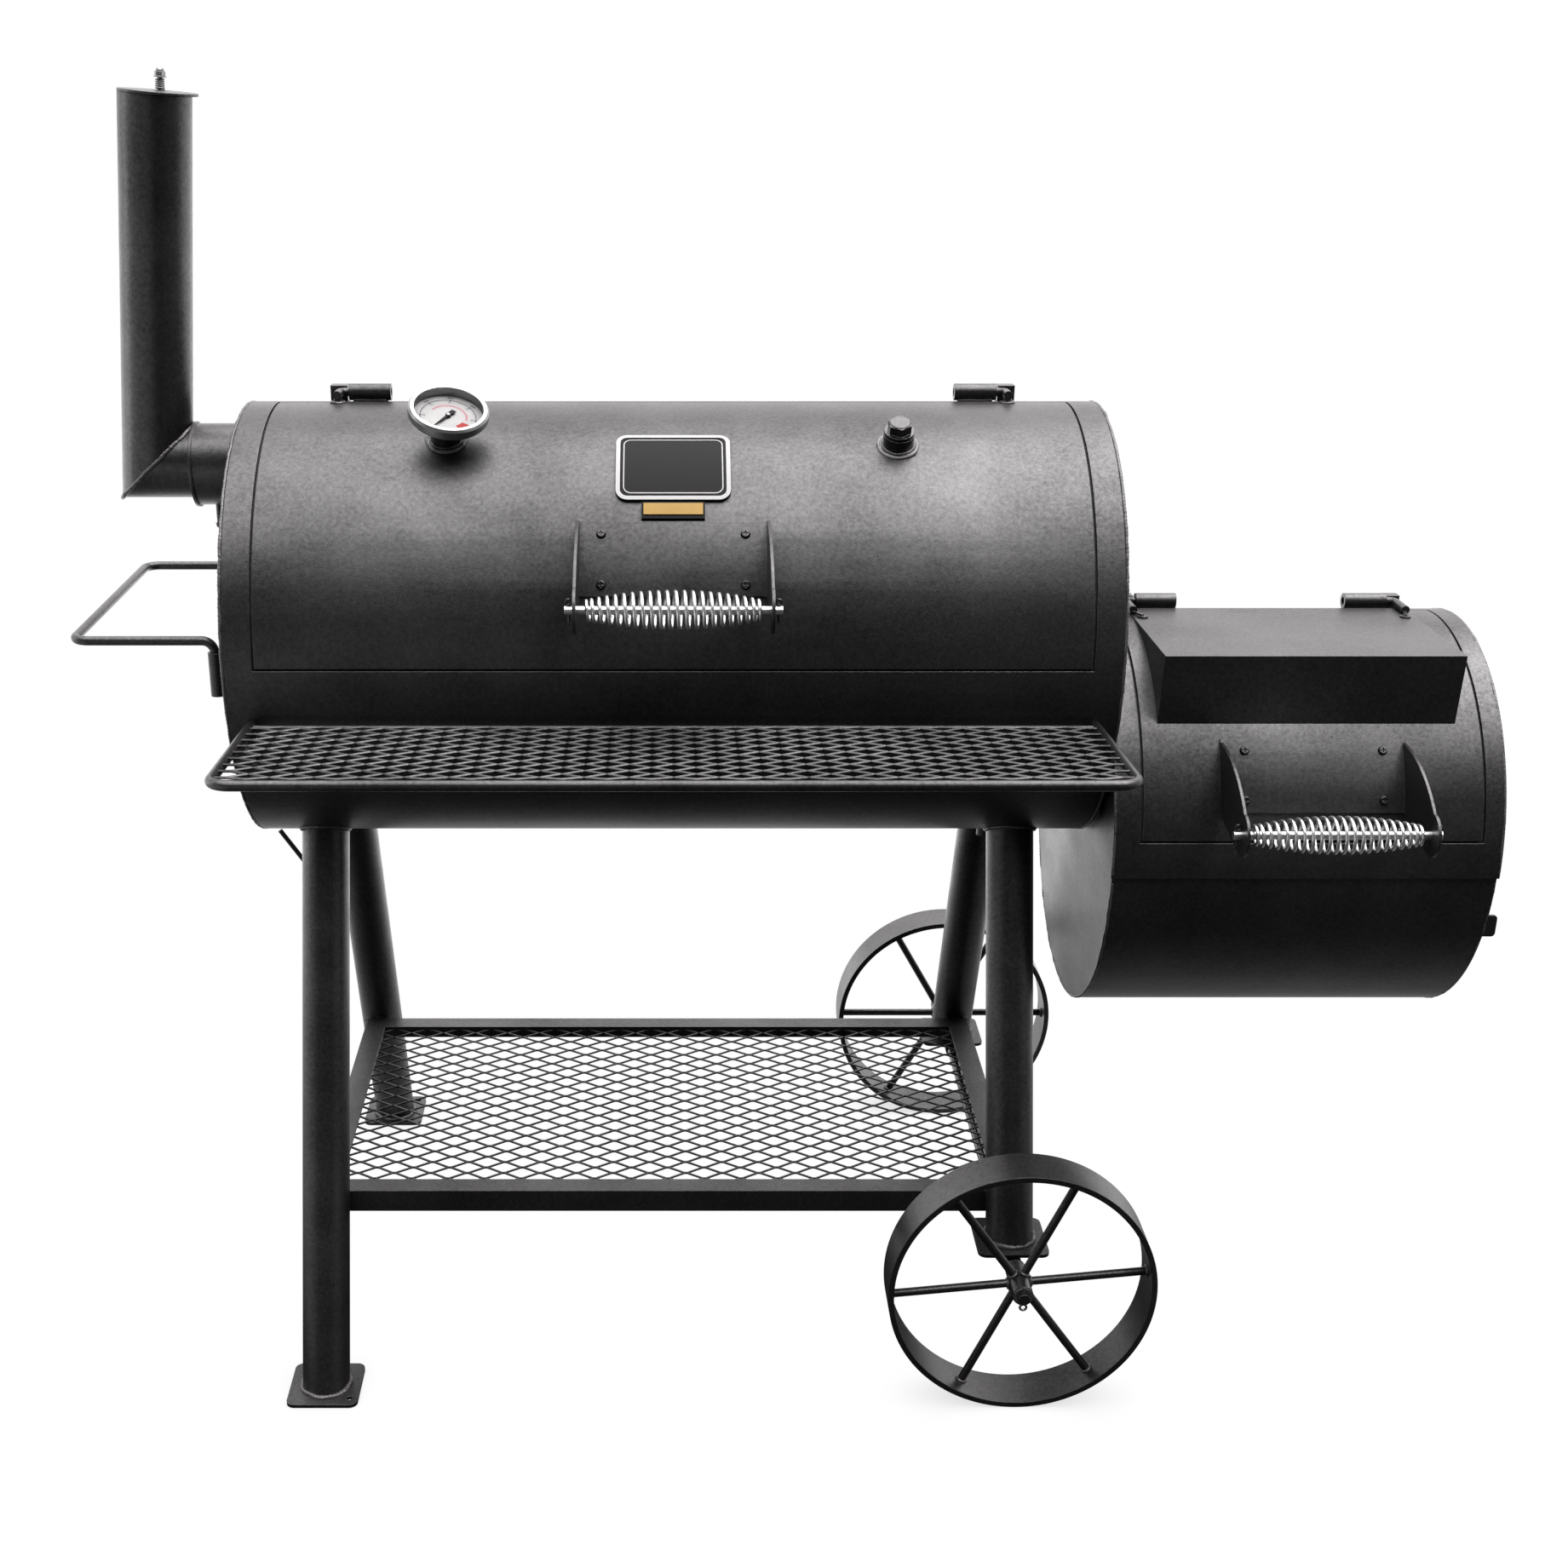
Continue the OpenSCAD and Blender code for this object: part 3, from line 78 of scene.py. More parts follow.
# ---- materials ----
class Nodes:
    """Small builder of shader node trees."""

    def __init__(self, name):
        self.mat = bpy.data.materials.new(name)
        self.mat.use_nodes = True
        self.tree = self.mat.node_tree
        self.tree.nodes.clear()
        self.out = self.add("ShaderNodeOutputMaterial")
        self.coord = self.add("ShaderNodeTexCoord").outputs["Object"]

    def add(self, kind, **values):
        n = self.tree.nodes.new(kind)
        for k, v in values.items():
            setattr(n, k, v)
        return n

    def link(self, a, b):
        self.tree.links.new(a, b)

    def put(self, socket, value):
        if isinstance(value, bpy.types.NodeSocket):
            self.link(value, socket)
        else:
            socket.default_value = value

    def mapped(self, scale):
        m = self.add("ShaderNodeMapping")
        m.inputs["Scale"].default_value = scale
        self.link(self.coord, m.inputs["Vector"])
        return m.outputs["Vector"]

    def noise(self, scale, detail=3.0, rough=0.55, stretch=None):
        n = self.add("ShaderNodeTexNoise")
        n.inputs["Scale"].default_value = scale
        n.inputs["Detail"].default_value = detail
        n.inputs["Roughness"].default_value = rough
        self.link(self.mapped(stretch) if stretch else self.coord, n.inputs["Vector"])
        return n.outputs["Fac"]

    def ramp(self, fac, *stops):
        r = self.add("ShaderNodeValToRGB")
        e = r.color_ramp.elements
        while len(e) < len(stops):
            e.new(0.5)
        for k, (p, c) in enumerate(stops):
            e[k].position = p
            e[k].color = (c, c, c, 1) if isinstance(c, (int, float)) else (*c, 1)
        self.put(r.inputs["Fac"], fac)
        return r.outputs["Color"]

    def math(self, op, a, b=0.0, c=0.0):
        n = self.add("ShaderNodeMath", operation=op)
        self.put(n.inputs[0], a)
        self.put(n.inputs[1], b)
        self.put(n.inputs[2], c)
        return n.outputs[0]

    def mix(self, fac, a, b):
        n = self.add("ShaderNodeMix", data_type="RGBA")
        self.put(n.inputs["Factor"], fac)
        self.put(n.inputs["A"], (*a, 1) if isinstance(a, tuple) else a)
        self.put(n.inputs["B"], (*b, 1) if isinstance(b, tuple) else b)
        return n.outputs["Result"]

    def bump(self, height, strength, distance, normal=None):
        n = self.add("ShaderNodeBump")
        n.inputs["Strength"].default_value = strength
        n.inputs["Distance"].default_value = distance
        self.link(height, n.inputs["Height"])
        if normal is not None:
            self.link(normal, n.inputs["Normal"])
        return n.outputs["Normal"]

    def soft_edge(self, radius):
        """Rounded-edge normal, and a mask that is bright on outer edges."""
        b = self.add("ShaderNodeBevel", samples=4)
        b.inputs["Radius"].default_value = radius
        g = self.add("ShaderNodeNewGeometry")
        d = self.add("ShaderNodeVectorMath", operation="DOT_PRODUCT")
        self.link(b.outputs["Normal"], d.inputs[0])
        self.link(g.outputs["Normal"], d.inputs[1])
        return b.outputs["Normal"], self.math("SUBTRACT", 1.0, d.outputs["Value"])

    def surface(self, **inputs):
        p = self.add("ShaderNodeBsdfPrincipled")
        for k, v in inputs.items():
            self.put(p.inputs[k.replace("_", " ")], v)
        self.link(p.outputs[0], self.out.inputs["Surface"])
        return self.mat


def paint(name, dark, light, rough, wear=0.35, speck=0.5, mottle=0.75):
    """Matt black heat-resistant paint: fine speckle, soft mottling, worn edges."""
    n = Nodes(name)
    fine = n.noise(620, 2, 0.6)
    blotch = n.noise(7, 5, 0.6)
    rolled = n.noise(9, 3, 0.5, (0.25, 1.0, 3.0))
    body = n.mix(n.ramp(blotch, (0.3, 0.0), (0.7, 1.0)), dark, light)
    dots = n.ramp(fine, (0.62, 0.0), (0.78, speck))
    body = n.mix(dots, body, tuple(c * 2.0 + 0.003 for c in light))
    edge_normal, edge = n.soft_edge(0.0012)
    patches = n.ramp(n.noise(90, 4, 0.7), (0.42, 0.0), (0.62, wear))
    worn = n.math("MULTIPLY", n.ramp(edge, (0.02, 0.0), (0.30, 1.0)), patches)
    body = n.mix(worn, body, (0.16, 0.155, 0.155))
    r = n.math("ADD", n.math("MULTIPLY", n.math("SUBTRACT", rolled, 0.5), 0.16), rough)
    r = n.math("ADD", r, n.math("MULTIPLY", n.math("SUBTRACT", fine, 0.5), 0.25))
    normal = n.bump(fine, 0.22, 0.0006, edge_normal)
    normal = n.bump(n.noise(38, 3, 0.5), 0.05, 0.004, normal)
    cloud = n.math("MULTIPLY", n.math("SUBTRACT", n.noise(8, 4, 0.55), 0.5), mottle)
    grain = n.math("MULTIPLY", n.math("SUBTRACT", n.noise(240, 3, 0.7), 0.5), mottle)
    sheen = n.math("ADD", n.math("ADD", cloud, grain), 0.5)
    return n.surface(Base_Color=body, Roughness=r, Normal=normal, Specular_IOR_Level=sheen)


def metal(name, colour, rough, grain=(1.0, 1.0, 1.0), scale=260, tarnish=0.12, bump=0.05):
    """Bare or plated metal with a fine grain and slight tarnish."""
    n = Nodes(name)
    g = n.noise(scale, 3, 0.6, grain)
    t = n.ramp(n.noise(45, 4, 0.6), (0.35, 0.0), (0.75, 1.0))
    c = n.mix(n.math("MULTIPLY", t, tarnish), colour, tuple(x * 0.45 for x in colour))
    r = n.math("ADD", rough, n.math("MULTIPLY", g, 0.12))
    edge_normal, _ = n.soft_edge(0.0005)
    return n.surface(Base_Color=c, Metallic=1.0, Roughness=r,
                     Normal=n.bump(g, bump, 0.0005, edge_normal))


def iron(name):
    """Dry bare iron with a thin oxide bloom."""
    n = Nodes(name)
    f = n.noise(420, 3, 0.6)
    b = n.noise(22, 5, 0.65)
    bloom = n.ramp(b, (0.40, 0.0), (0.68, 0.8))
    c = n.mix(bloom, (0.045, 0.042, 0.040), (0.105, 0.070, 0.048))
    c = n.mix(n.ramp(f, (0.6, 0.0), (0.75, 0.4)), c, (0.16, 0.15, 0.14))
    r = n.math("ADD", 0.58, n.math("MULTIPLY", f, 0.2))
    return n.surface(Base_Color=c, Metallic=0.2, Roughness=r, Normal=n.bump(f, 0.3, 0.0006))


def print_face(name, colour, rough=0.42):
    """Printed or enamelled flat surface."""
    n = Nodes(name)
    g = n.noise(700, 2, 0.5)
    c = n.mix(n.math("MULTIPLY", n.noise(30, 3, 0.5), 0.25), colour, tuple(x * 0.8 for x in colour))
    return n.surface(Base_Color=c, Roughness=n.math("ADD", rough, n.math("MULTIPLY", g, 0.1)),
                     Normal=n.bump(g, 0.06, 0.0002), Specular_IOR_Level=0.06)


def glass(name):
    """Thin clear pane with faint smears."""
    n = Nodes(name)
    clear = n.add("ShaderNodeBsdfTransparent")
    n.link(n.ramp(n.noise(60, 4, 0.6), (0.35, 0.99), (0.80, 0.95)), clear.inputs["Color"])
    n.link(clear.outputs[0], n.out.inputs["Surface"])
    return n.mat


M = {
    "paint": paint("black_paint", (0.0018, 0.0016, 0.0017), (0.0045, 0.0040, 0.0043), 0.42),
    "paint_tube": paint("black_paint_tube", (0.0018, 0.0016, 0.0017), (0.0045, 0.0040, 0.0043), 0.38),
    # Flat, unspeckled, unworn black for the lid seal frames: painted shade that darkens the gap lines round
    # the lids
    "gap_shade_black": paint("painted_gap_shade", (0.002, 0.002, 0.002), (0.004, 0.004, 0.004), 0.85, 0.0, 0.1, 0.1),
    # Light weld material: real scuffs on the bung welds, and a painted highlight on the firebox seam's rim
    "scuffed_weld_and_highlight": paint("weld_bead_scuffed_and_highlight", (0.05, 0.049, 0.049), (0.13, 0.128, 0.125), 0.45, 0.9, 0.8),
    "weld": paint("weld_bead_painted", (0.022, 0.021, 0.021), (0.045, 0.042, 0.042), 0.36, 0.8, 0.7),
    "iron": iron("bare_iron"),
    "chrome": metal("chrome_wire", (0.66, 0.66, 0.665), 0.24, bump=0.03, tarnish=0.05),
    "polished": metal("polished_steel", (0.23, 0.23, 0.233), 0.28, (1, 1, 1), 320, 0.06, 0.04),
    "zinc": metal("zinc_plated", (0.22, 0.22, 0.225), 0.30),
    "hardware": paint("dark_hardware", (0.003, 0.003, 0.0032), (0.006, 0.006, 0.0062), 0.20, 0.5, 0.3, 0.4),
    "dial": print_face("dial_white", (0.245, 0.245, 0.242)),
    "ink": print_face("dial_ink", (0.006, 0.006, 0.0065)),
    "pink": print_face("dial_pink", (0.235, 0.125, 0.135)),
    "red": print_face("dial_red", (0.19, 0.022, 0.018)),
    "grey_ink": print_face("dial_grey_ink", (0.012, 0.012, 0.013)),
    "glass": glass("dial_glass"),
    "brass": metal("blank_brass", (0.105, 0.070, 0.026), 0.30, (1, 6, 6), 200, 0.3),
    "badge": print_face("badge_dark", (0.0035, 0.0033, 0.0035), 0.38),
    "badge_rim": print_face("badge_light", (0.28, 0.28, 0.28), 0.35),
}

BY_SLOT = {"black_paint": "paint", "bare_iron": "iron", "chrome_wire": "chrome", "polished_steel": "polished",
           "plated_steel": "zinc", "dark_hardware": "hardware", "dial_face": "dial", "dial_glass": "glass",
           "badge_brass": "brass", "badge_metal": "badge"}
SLOT_OF = {v: k for k, v in BY_SLOT.items()}
SLOT_OF.update({"paint_tube": "black_paint", "weld": "black_paint", "scuffed_weld_and_highlight": "black_paint",
                "gap_shade_black": "black_paint", "ink": "dial_face", "grey_ink": "dial_face",
                "pink": "dial_face", "red": "dial_face", "badge_rim": "badge_metal"})
NODE_MAT = {"legs_left": "paint_tube", "legs_right": "paint_tube", "stack_pipe": "paint_tube",
            "stack_collar": "paint_tube", "wheel_front": "paint_tube", "wheel_rear": "paint_tube",
            "side_handle": "paint_tube", "front_shelf_frame": "paint_tube",
            "main_hinge_tubes": "paint_tube", "firebox_hinge_tubes": "paint_tube",
            "main_hinge_rods": "paint_tube", "firebox_hinge_rods": "paint_tube",
            # the lid seal frames carry the painted gap shade
            "lid_seal_frames": "gap_shade_black", "thermometer_pointer": "ink",
            "probe_plug": "hardware", "lid_bungs": "hardware"}

for part in frame["record"]["subparts"]:
    o = NODES[part["node"]]
    key = NODE_MAT.get(part["node"], BY_SLOT[part["material_slot"]])
    o.data.materials.clear()
    o.data.materials.append(M[key])


# ---- pieces ----
def piece(name, verts, faces, body, key, smooth=True):
    """New mesh from points in barrel coordinates, riding on a body."""
    me = bpy.data.meshes.new(name)
    me.from_pydata([tuple(ORIGIN @ Vector(v)) for v in verts], [], faces)
    me.validate()
    if smooth:
        me.polygons.foreach_set("use_smooth", [True] * len(me.polygons))
    me.materials.append(M[key])
    o = bpy.data.objects.new(name, me)
    bpy.context.scene.collection.objects.link(o)
    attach(o, body)
    return o


class Batch:
    """Collects many small shapes into one piece."""

    def __init__(self):
        self.verts, self.faces = [], []

    def add(self, verts, faces):
        k = len(self.verts)
        self.verts += [Vector(v) for v in verts]
        self.faces += [tuple(i + k for i in f) for f in faces]

    def make(self, name, body, key, smooth=True):
        return piece(name, self.verts, self.faces, body, key, smooth)


def sweep(path, radius, seg=8, closed=False):
    """Verts and faces of a tube along a path. Radius is a number or a list."""
    pts = [Vector(p) for p in path]
    n = len(pts)
    rad = radius if isinstance(radius, list) else [radius] * n
    tang = []
    for i in range(n):
        a = pts[(i - 1) % n] if closed or i else pts[0]
        b = pts[(i + 1) % n] if closed or i < n - 1 else pts[-1]
        tang.append((b - a).normalized())
    side = Vector((0, 0, 1)) if abs(tang[0].z) < 0.9 else Vector((1, 0, 0))
    verts = []
    for i in range(n):
        side = (side - tang[i] * side.dot(tang[i])).normalized()
        other = tang[i].cross(side)
        for k in range(seg):
            a = 2 * math.pi * k / seg
            verts.append(pts[i] + (side * math.cos(a) + other * math.sin(a)) * rad[i])
    faces = []
    for i in range(n if closed else n - 1):
        j = (i + 1) % n
        for k in range(seg):
            m = (k + 1) % seg
            faces.append((i * seg + k, i * seg + m, j * seg + m, j * seg + k))
    if not closed:
        faces.append(tuple(reversed(range(seg))))
        faces.append(tuple(range((n - 1) * seg, n * seg)))
    return verts, faces


def resample(path, step, closed=False):
    """Points at equal steps along a path."""
    pts = [Vector(p) for p in path]
    if closed:
        pts = pts + [pts[0]]
    out, carry = [pts[0]], 0.0
    for a, b in zip(pts, pts[1:]):
        length = (b - a).length
        t = step - carry
        while t <= length:
            out.append(a.lerp(b, t / length))
            t += step
        carry = length - (t - step)
    if closed and (out[-1] - pts[0]).length < step * 0.6:
        out.pop()
    elif not closed and (out[-1] - pts[-1]).length > step * 0.3:
        out.append(pts[-1])
    return out


def bead(path, r, closed=False, pitch=0.0042, rough=0.28):
    """Weld bead along a path: overlapping ripples with an uneven width."""
    pts = resample(path, pitch / 3, closed)
    rad, moved = [], []
    for i, p in enumerate(pts):
        ripple = 0.10 * math.cos(2 * math.pi * i / 3.0)
        wobble = noise.noise(p * 55) * rough + noise.noise(p * 260) * rough * 0.5
        rad.append(r * (1 + ripple + wobble))
        drift = [noise.noise(p * 90 + Vector(shift)) for shift in ((0, 0, 0), (7, 0, 0), (0, 9, 0))]
        moved.append(p + Vector(drift) * r * 0.35)
    return sweep(moved, rad, 7, closed)


def ring(centre, axis, radius, a0=0.0, a1=360.0, n=96, start=None):
    """Points of a circle or arc round an axis."""
    axis = Vector(axis).normalized()
    if start is None:
        start = (0, -1, 0) if abs(axis.y) < 0.9 else (1, 0, 0)
    x = Vector(start)
    x = (x - axis * x.dot(axis)).normalized()
    y = axis.cross(x)
    full = abs(a1 - a0) >= 359.9
    count = n if full else n + 1
    turn = [math.radians(a0 + (a1 - a0) * i / n) for i in range(count)]
    return [Vector(centre) + (x * math.cos(t) + y * math.sin(t)) * radius for t in turn]


def on_barrel(x, deg, r, z=BARREL_Z):
    """Point at angle deg from the front over the top, at radius r."""
    a = math.radians(deg)
    return Vector((x, -r * math.cos(a), z + r * math.sin(a)))


def arc_line(x, d0, d1, r, z=BARREL_Z, n=48):
    return [on_barrel(x, d0 + (d1 - d0) * i / n, r, z) for i in range(n + 1)]


def helix(centre, radius_of, x_of, turns, per_turn):
    """Spring path along X."""
    out = []
    total = int(turns * per_turn)
    for i in range(total + 1):
        u = i / total
        a = 2 * math.pi * turns * u
        x, r = x_of(u), radius_of(u)
        out.append(Vector(centre) + Vector((x, r * math.cos(a), r * math.sin(a))))
    return out


# Springs on the two lid handles
def grip(name, x_mid, rod, z, body, node):
    centre = on_barrel(x_mid, math.degrees(rod[1]), rod[0], z)
    rise = GRIP_MID_R - GRIP_END_R
    crown = (GRIP_HALF ** 2 + rise ** 2) / (2 * rise)

    def x_of(u):
        s = 2 * u - 1
        return GRIP_HALF * (1.078 * s - 0.078 * s ** 9)

    def radius_of(u):
        return GRIP_MID_R - (crown - math.sqrt(crown ** 2 - x_of(u) ** 2))

    v, f = sweep(helix(centre, radius_of, x_of, GRIP_TURNS, 30), GRIP_WIRE, 10)
    o = piece(name, v, f, body, "chrome")
    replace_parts(o, node)


grip("main_grip_spring", 0.0, MAIN_ROD, BARREL_Z, "main_grip_body", "main_grip_coil")
grip("firebox_grip_spring", FIRE_MID, FIRE_ROD, FIRE_Z, "firebox_grip_body", "firebox_grip_coil")

# Chimney frame: local z runs up the leaning pipe
LEAN = Matrix.Translation((STACK_X, 0, STACK_Z)) @ Matrix.Rotation(STACK_LEAN, 4, "Y")
pivot = LEAN @ Matrix.Translation((-0.0005, 0.026, STACK_LEN))
path = []
for i in range(COIL_TURNS * 20 + 1):
    a = 2 * math.pi * i / 20
    up = 0.0036 + COIL_H * i / (COIL_TURNS * 20)
    path.append(pivot @ Vector((COIL_R * math.cos(a), COIL_R * math.sin(a), up)))
v, f = sweep(path, COIL_WIRE, 8)
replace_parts(piece("damper_coil", v, f, "frame", "zinc"), "damper_spring")


# Expanded metal: rows of zigzag strands that meet at their knuckles
def expanded(name, w, d, rows, place, node, strand, tilt):
    b = Batch()
    step = d / rows
    half_cell = LONG_WAY / 2
    cols = int(math.ceil(w / half_cell)) + 1
    ct, sn = math.cos(math.radians(tilt)), math.sin(math.radians(tilt))
    u, v = strand / 2, MESH_T / 2
    section = [(-u, -v), (u, -v), (u, v), (-u, v)]
    for k in range(rows + 1):
        y0 = -d / 2 + k * step
        pts = []
        for i in range(-cols // 2, cols // 2 + 1):
            up = 1 if (i + k) % 2 == 0 else -1
            y = y0 + up * step / 2
            if k == 0:
                y = max(y, y0)
            if k == rows:
                y = min(y, y0)
            for dx in (-KNUCKLE, KNUCKLE):
                x = i * half_cell + dx
                if -w / 2 <= x <= w / 2:
                    pts.append((x, y))
        if len(pts) < 2:
            continue
        pts = [(-w / 2, pts[0][1])] + pts + [(w / 2, pts[-1][1])]
        verts = []
        for x, y in pts:
            for s, t in section:
                verts.append(place @ Vector((x, y + s * ct - t * sn, s * sn + t * ct)))
        faces = []
        for i in range(len(pts) - 1):
            for q in range(4):
                r = (q + 1) % 4
                faces.append((i * 4 + q, i * 4 + r, i * 4 + 4 + r, i * 4 + 4 + q))
        faces.append((3, 2, 1, 0))
        e = (len(pts) - 1) * 4
        faces.append((e, e + 1, e + 2, e + 3))
        b.add(verts, faces)
    o = b.make(name, "frame", "paint", False)
    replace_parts(o, node)


lower = Matrix.Translation((SHELF_X, (SHELF_BACK - SHELF_FRONT) / 2, SHELF_Z - 0.0045))
expanded("lower_shelf_expanded_metal", SHELF_W - 0.008, SHELF_FRONT + SHELF_BACK - 0.008,
         35, lower, "lower_shelf_mesh", 0.0030, -8)
shelf = Matrix.Translation((0, -0.236, 0.723)) @ Matrix.Rotation(math.radians(-3), 4, "X")
expanded("front_shelf_expanded_metal", 0.832, 0.186,
         17, shelf @ Matrix.Translation((0, -0.1015, 0.0035)), "front_shelf_mesh", 0.0021, 36)

# ---- welds ----
welds, lid_welds, scuffed = Batch(), Batch(), Batch()
for s in (-1, 1):
    rim = ring((s * (HALF - 0.0012), 0, BARREL_Z), (1, 0, 0), BARREL_R - 0.0012)
    welds.add(*bead(rim, 0.0017, True))
for x, r, a0, a1 in ((FIRE_X0 + 0.0012, FIRE_R - 0.0012, 0, 180),
                     (FIRE_X1 - 0.0012, FIRE_R - 0.0012, 0, 180),
                     (FIRE_X0 + FIRE_STEP + 0.0012, FIRE_LOW_R - 0.0012, 182, 358),
                     (FIRE_X1 - FIRE_STEP - 0.0012, FIRE_LOW_R - 0.0012, 182, 358)):
    welds.add(*bead(arc_line(x, a0, a1, r, FIRE_Z if a0 == 0 else FIRE_LOW_Z, 90), 0.0016))


def leg_axis(x, s, z):
    return Vector((x, s * (FOOT_Y - SLOPE * z), z))


def leg_curve(x, s, hit):
    """Closed curve on a leg's skin, where hit(point, direction) gives the distance along the leg."""
    a, b = leg_axis(x, s, 0.0), leg_axis(x, s, 0.4)
    d = (b - a).normalized()
    out = []
    for q in ring(a, d, LEG_R + 0.0004, n=60, start=(1, 0, 0)):
        out.append(q + d * hit(q, d))
    return out


def to_barrel(q, d):
    r = BARREL_R + 0.0002
    A = d.y ** 2 + d.z ** 2
    B = 2 * (q.y * d.y + (q.z - BARREL_Z) * d.z)
    C = q.y ** 2 + (q.z - BARREL_Z) ** 2 - r * r
    return (-B - math.sqrt(max(0.0, B * B - 4 * A * C))) / (2 * A)


for x in (LEFT_X, RIGHT_X):
    z = 0.0045 if x < 0 else AXLE_FOOT_Z + 0.0045
    for s in (-1, 1):
        welds.add(*bead(leg_curve(x, s, to_barrel), 0.0026, True, rough=0.35))
        welds.add(*bead(leg_curve(x, s, lambda q, d: (z - q.z) / d.z), 0.0030, True, rough=0.45))

# Collar, elbow, bungs
welds.add(*bead(ring((-HALF - 0.0008, 0, COLLAR_Z), (1, 0, 0), COLLAR_R + 0.0026), 0.0022, True))
normal = (Matrix.Rotation(-(math.pi / 2 - STACK_LEAN) / 2, 4, "Y") @ Vector((0, 0, 1, 0))).to_3d()
path = []
for i in range(72):
    y, z = PIPE_R * math.cos(2 * math.pi * i / 72), PIPE_R * math.sin(2 * math.pi * i / 72)
    path.append(Vector((STACK_X - z * normal.z / normal.x, y, STACK_Z + z)))
welds.add(*bead(path, 0.0024, True, rough=0.5))


def saddle(x, deg, r, body_r, z0):
    """Curve where a radial tube of radius r meets a barrel."""
    n = on_barrel(0, deg, 1.0, 0.0)
    u = n.cross(Vector((1, 0, 0))).normalized()
    out = []
    for i in range(48):
        a = 2 * math.pi * i / 48
        dx, du = r * math.cos(a), r * math.sin(a)
        h = math.sqrt(body_r ** 2 - du ** 2)
        out.append(Vector((x + dx, 0, z0)) + n * h + u * du)
    return out


for x, a in ((DIAL_X, DIAL_A), (PLUG_X, PLUG_A)):
    scuffed.add(*bead(saddle(x, a, 0.0195, BARREL_R + 0.0006, BARREL_Z), 0.0021, True, rough=0.45))
    lid_welds.add(*bead(saddle(x, a, 0.0160, BARREL_R + 0.0022, BARREL_Z), 0.0016, True))

# Hinge tubes, stops and rods
TOP = BARREL_Z + BARREL_R
for x0, x1 in ((-0.336, -0.300), (0.300, 0.336)):
    for y in (0.0205, 0.0295):
        z = BARREL_Z + math.sqrt(BARREL_R ** 2 - y * y) + 0.0012
        welds.add(*bead([(x0, y, z), (x1, y, z)], 0.0019))
for s in (-1, 1):
    lid_welds.add(*bead(ring((s * 0.350, 0.0055, TOP + 0.0005), (0, 0, 1), 0.0062, n=24), 0.0017, True))
for x0, x1 in ((0.515, 0.547), (0.744, 0.778)):
    for y in (0.0335, 0.0425):
        z = FIRE_Z + math.sqrt(FIRE_R ** 2 - y * y) + 0.0010
        welds.add(*bead([(x0, y, z), (x1, y, z)], 0.0018))

# Side handle sockets, shelf brackets
for s in (-1, 1):
    for dy in (-0.0034, 0.0034):
        x, y = -HALF - 0.0008, s * HANDLE_Y + dy
        welds.add(*bead([(x, y, 0.742), (x, y, 0.774)], 0.0017))
    x = s * 0.4198
    for dx in (-0.0026, 0.0026):
        pts = []
        for i in range(9):
            zz = BARREL_Z - 0.098 + 0.0385 * i / 8
            pts.append((x + dx, -math.sqrt((BARREL_R + 0.0006) ** 2 - (zz - BARREL_Z) ** 2), zz))
        welds.add(*bead(pts, 0.0016))

# Spokes: rim and hub
wheels = {"wheel_front_body": (Batch(), -1, 6), "wheel_rear_body": (Batch(), 1, 0)}
for body, (b, s, a0) in wheels.items():
    for k in range(6):
        a = math.radians(a0 + k * 60)
        d = Vector((math.cos(a), 0, math.sin(a)))
        c = Vector((RIGHT_X, -FRONT_WHEEL_Y if s < 0 else REAR_WHEEL_Y, AXLE_Z))
        b.add(*bead(ring(c + d * (WHEEL_R - 0.0066), d, 0.0050, n=24), 0.0017, True))
        b.add(*bead(ring(c + d * 0.0122, d, 0.0048, n=24), 0.0014, True))
    b.make(body.replace("_body", "_welds"), body, "weld")

# Lower shelf corners against the legs, axle sleeves, drain
for x in (LEFT_X, RIGHT_X):
    inner = -1 if x > 0 else 1
    for z in (SHELF_Z - 0.002, SHELF_Z - 0.024):
        for dx in (-0.012, 0.012):
            y = SHELF_BACK + 0.001
            welds.add(*bead([(x + dx - 0.005, y, z), (x + dx + 0.005, y, z)], 0.0022, rough=0.4))
    y = -SHELF_FRONT - 0.0004
    path = [(x + inner * LEG_R * 0.80, y, SHELF_Z - 0.025 + 0.0245 * i / 8) for i in range(9)]
    welds.add(*bead(path, 0.0020, rough=0.4))
for s in (-1, 1):
    y = s * (FOOT_Y - SLOPE * AXLE_FOOT_Z)
    for x in (RIGHT_X - 0.0054, RIGHT_X + 0.0054):
        z = AXLE_FOOT_Z - 0.0012
        welds.add(*bead([(x, y - 0.029, z), (x, y + 0.029, z)], 0.0016, rough=0.4))
belly = BARREL_Z - BARREL_R + 0.0003
welds.add(*bead(ring((0.352, 0, belly), (0, 0, 1), 0.0068, n=24), 0.0016, True))
welds.add(*bead(ring((-0.413, 0, belly), (0, 0, 1), 0.0036, n=20), 0.0013, True))
welds.make("frame_welds", "frame", "weld")
lid_welds.make("main_lid_welds", "main_lid_body", "weld")
scuffed.make("bung_welds", "main_lid_body", "scuffed_weld_and_highlight")
# Light bead along the top rim of the lower firebox shell: a painted highlight where the rim catches light
# below the upper shell's overhang
seam = Batch()
y, z = -FIRE_LOW_R - 0.0006, FIRE_Z - 0.0012
seam.add(*bead([(FIRE_X0 + 0.004, y, z), (FIRE_X1 - 0.004, y, z)], 0.0009))
seam.make("firebox_seam_painted_highlight", "frame", "scuffed_weld_and_highlight")

# ---- thermometer face ----
DIAL = (Matrix.Translation(on_barrel(DIAL_X, DIAL_A, BARREL_R))
        @ Matrix.Rotation(math.radians(90 - DIAL_A), 4, "X") @ Matrix.Rotation(DIAL_LEAN, 4, "Y"))


def flat_shape(pts, z):
    return [DIAL @ Vector((x, y, z)) for x, y in pts], [tuple(range(len(pts)))]


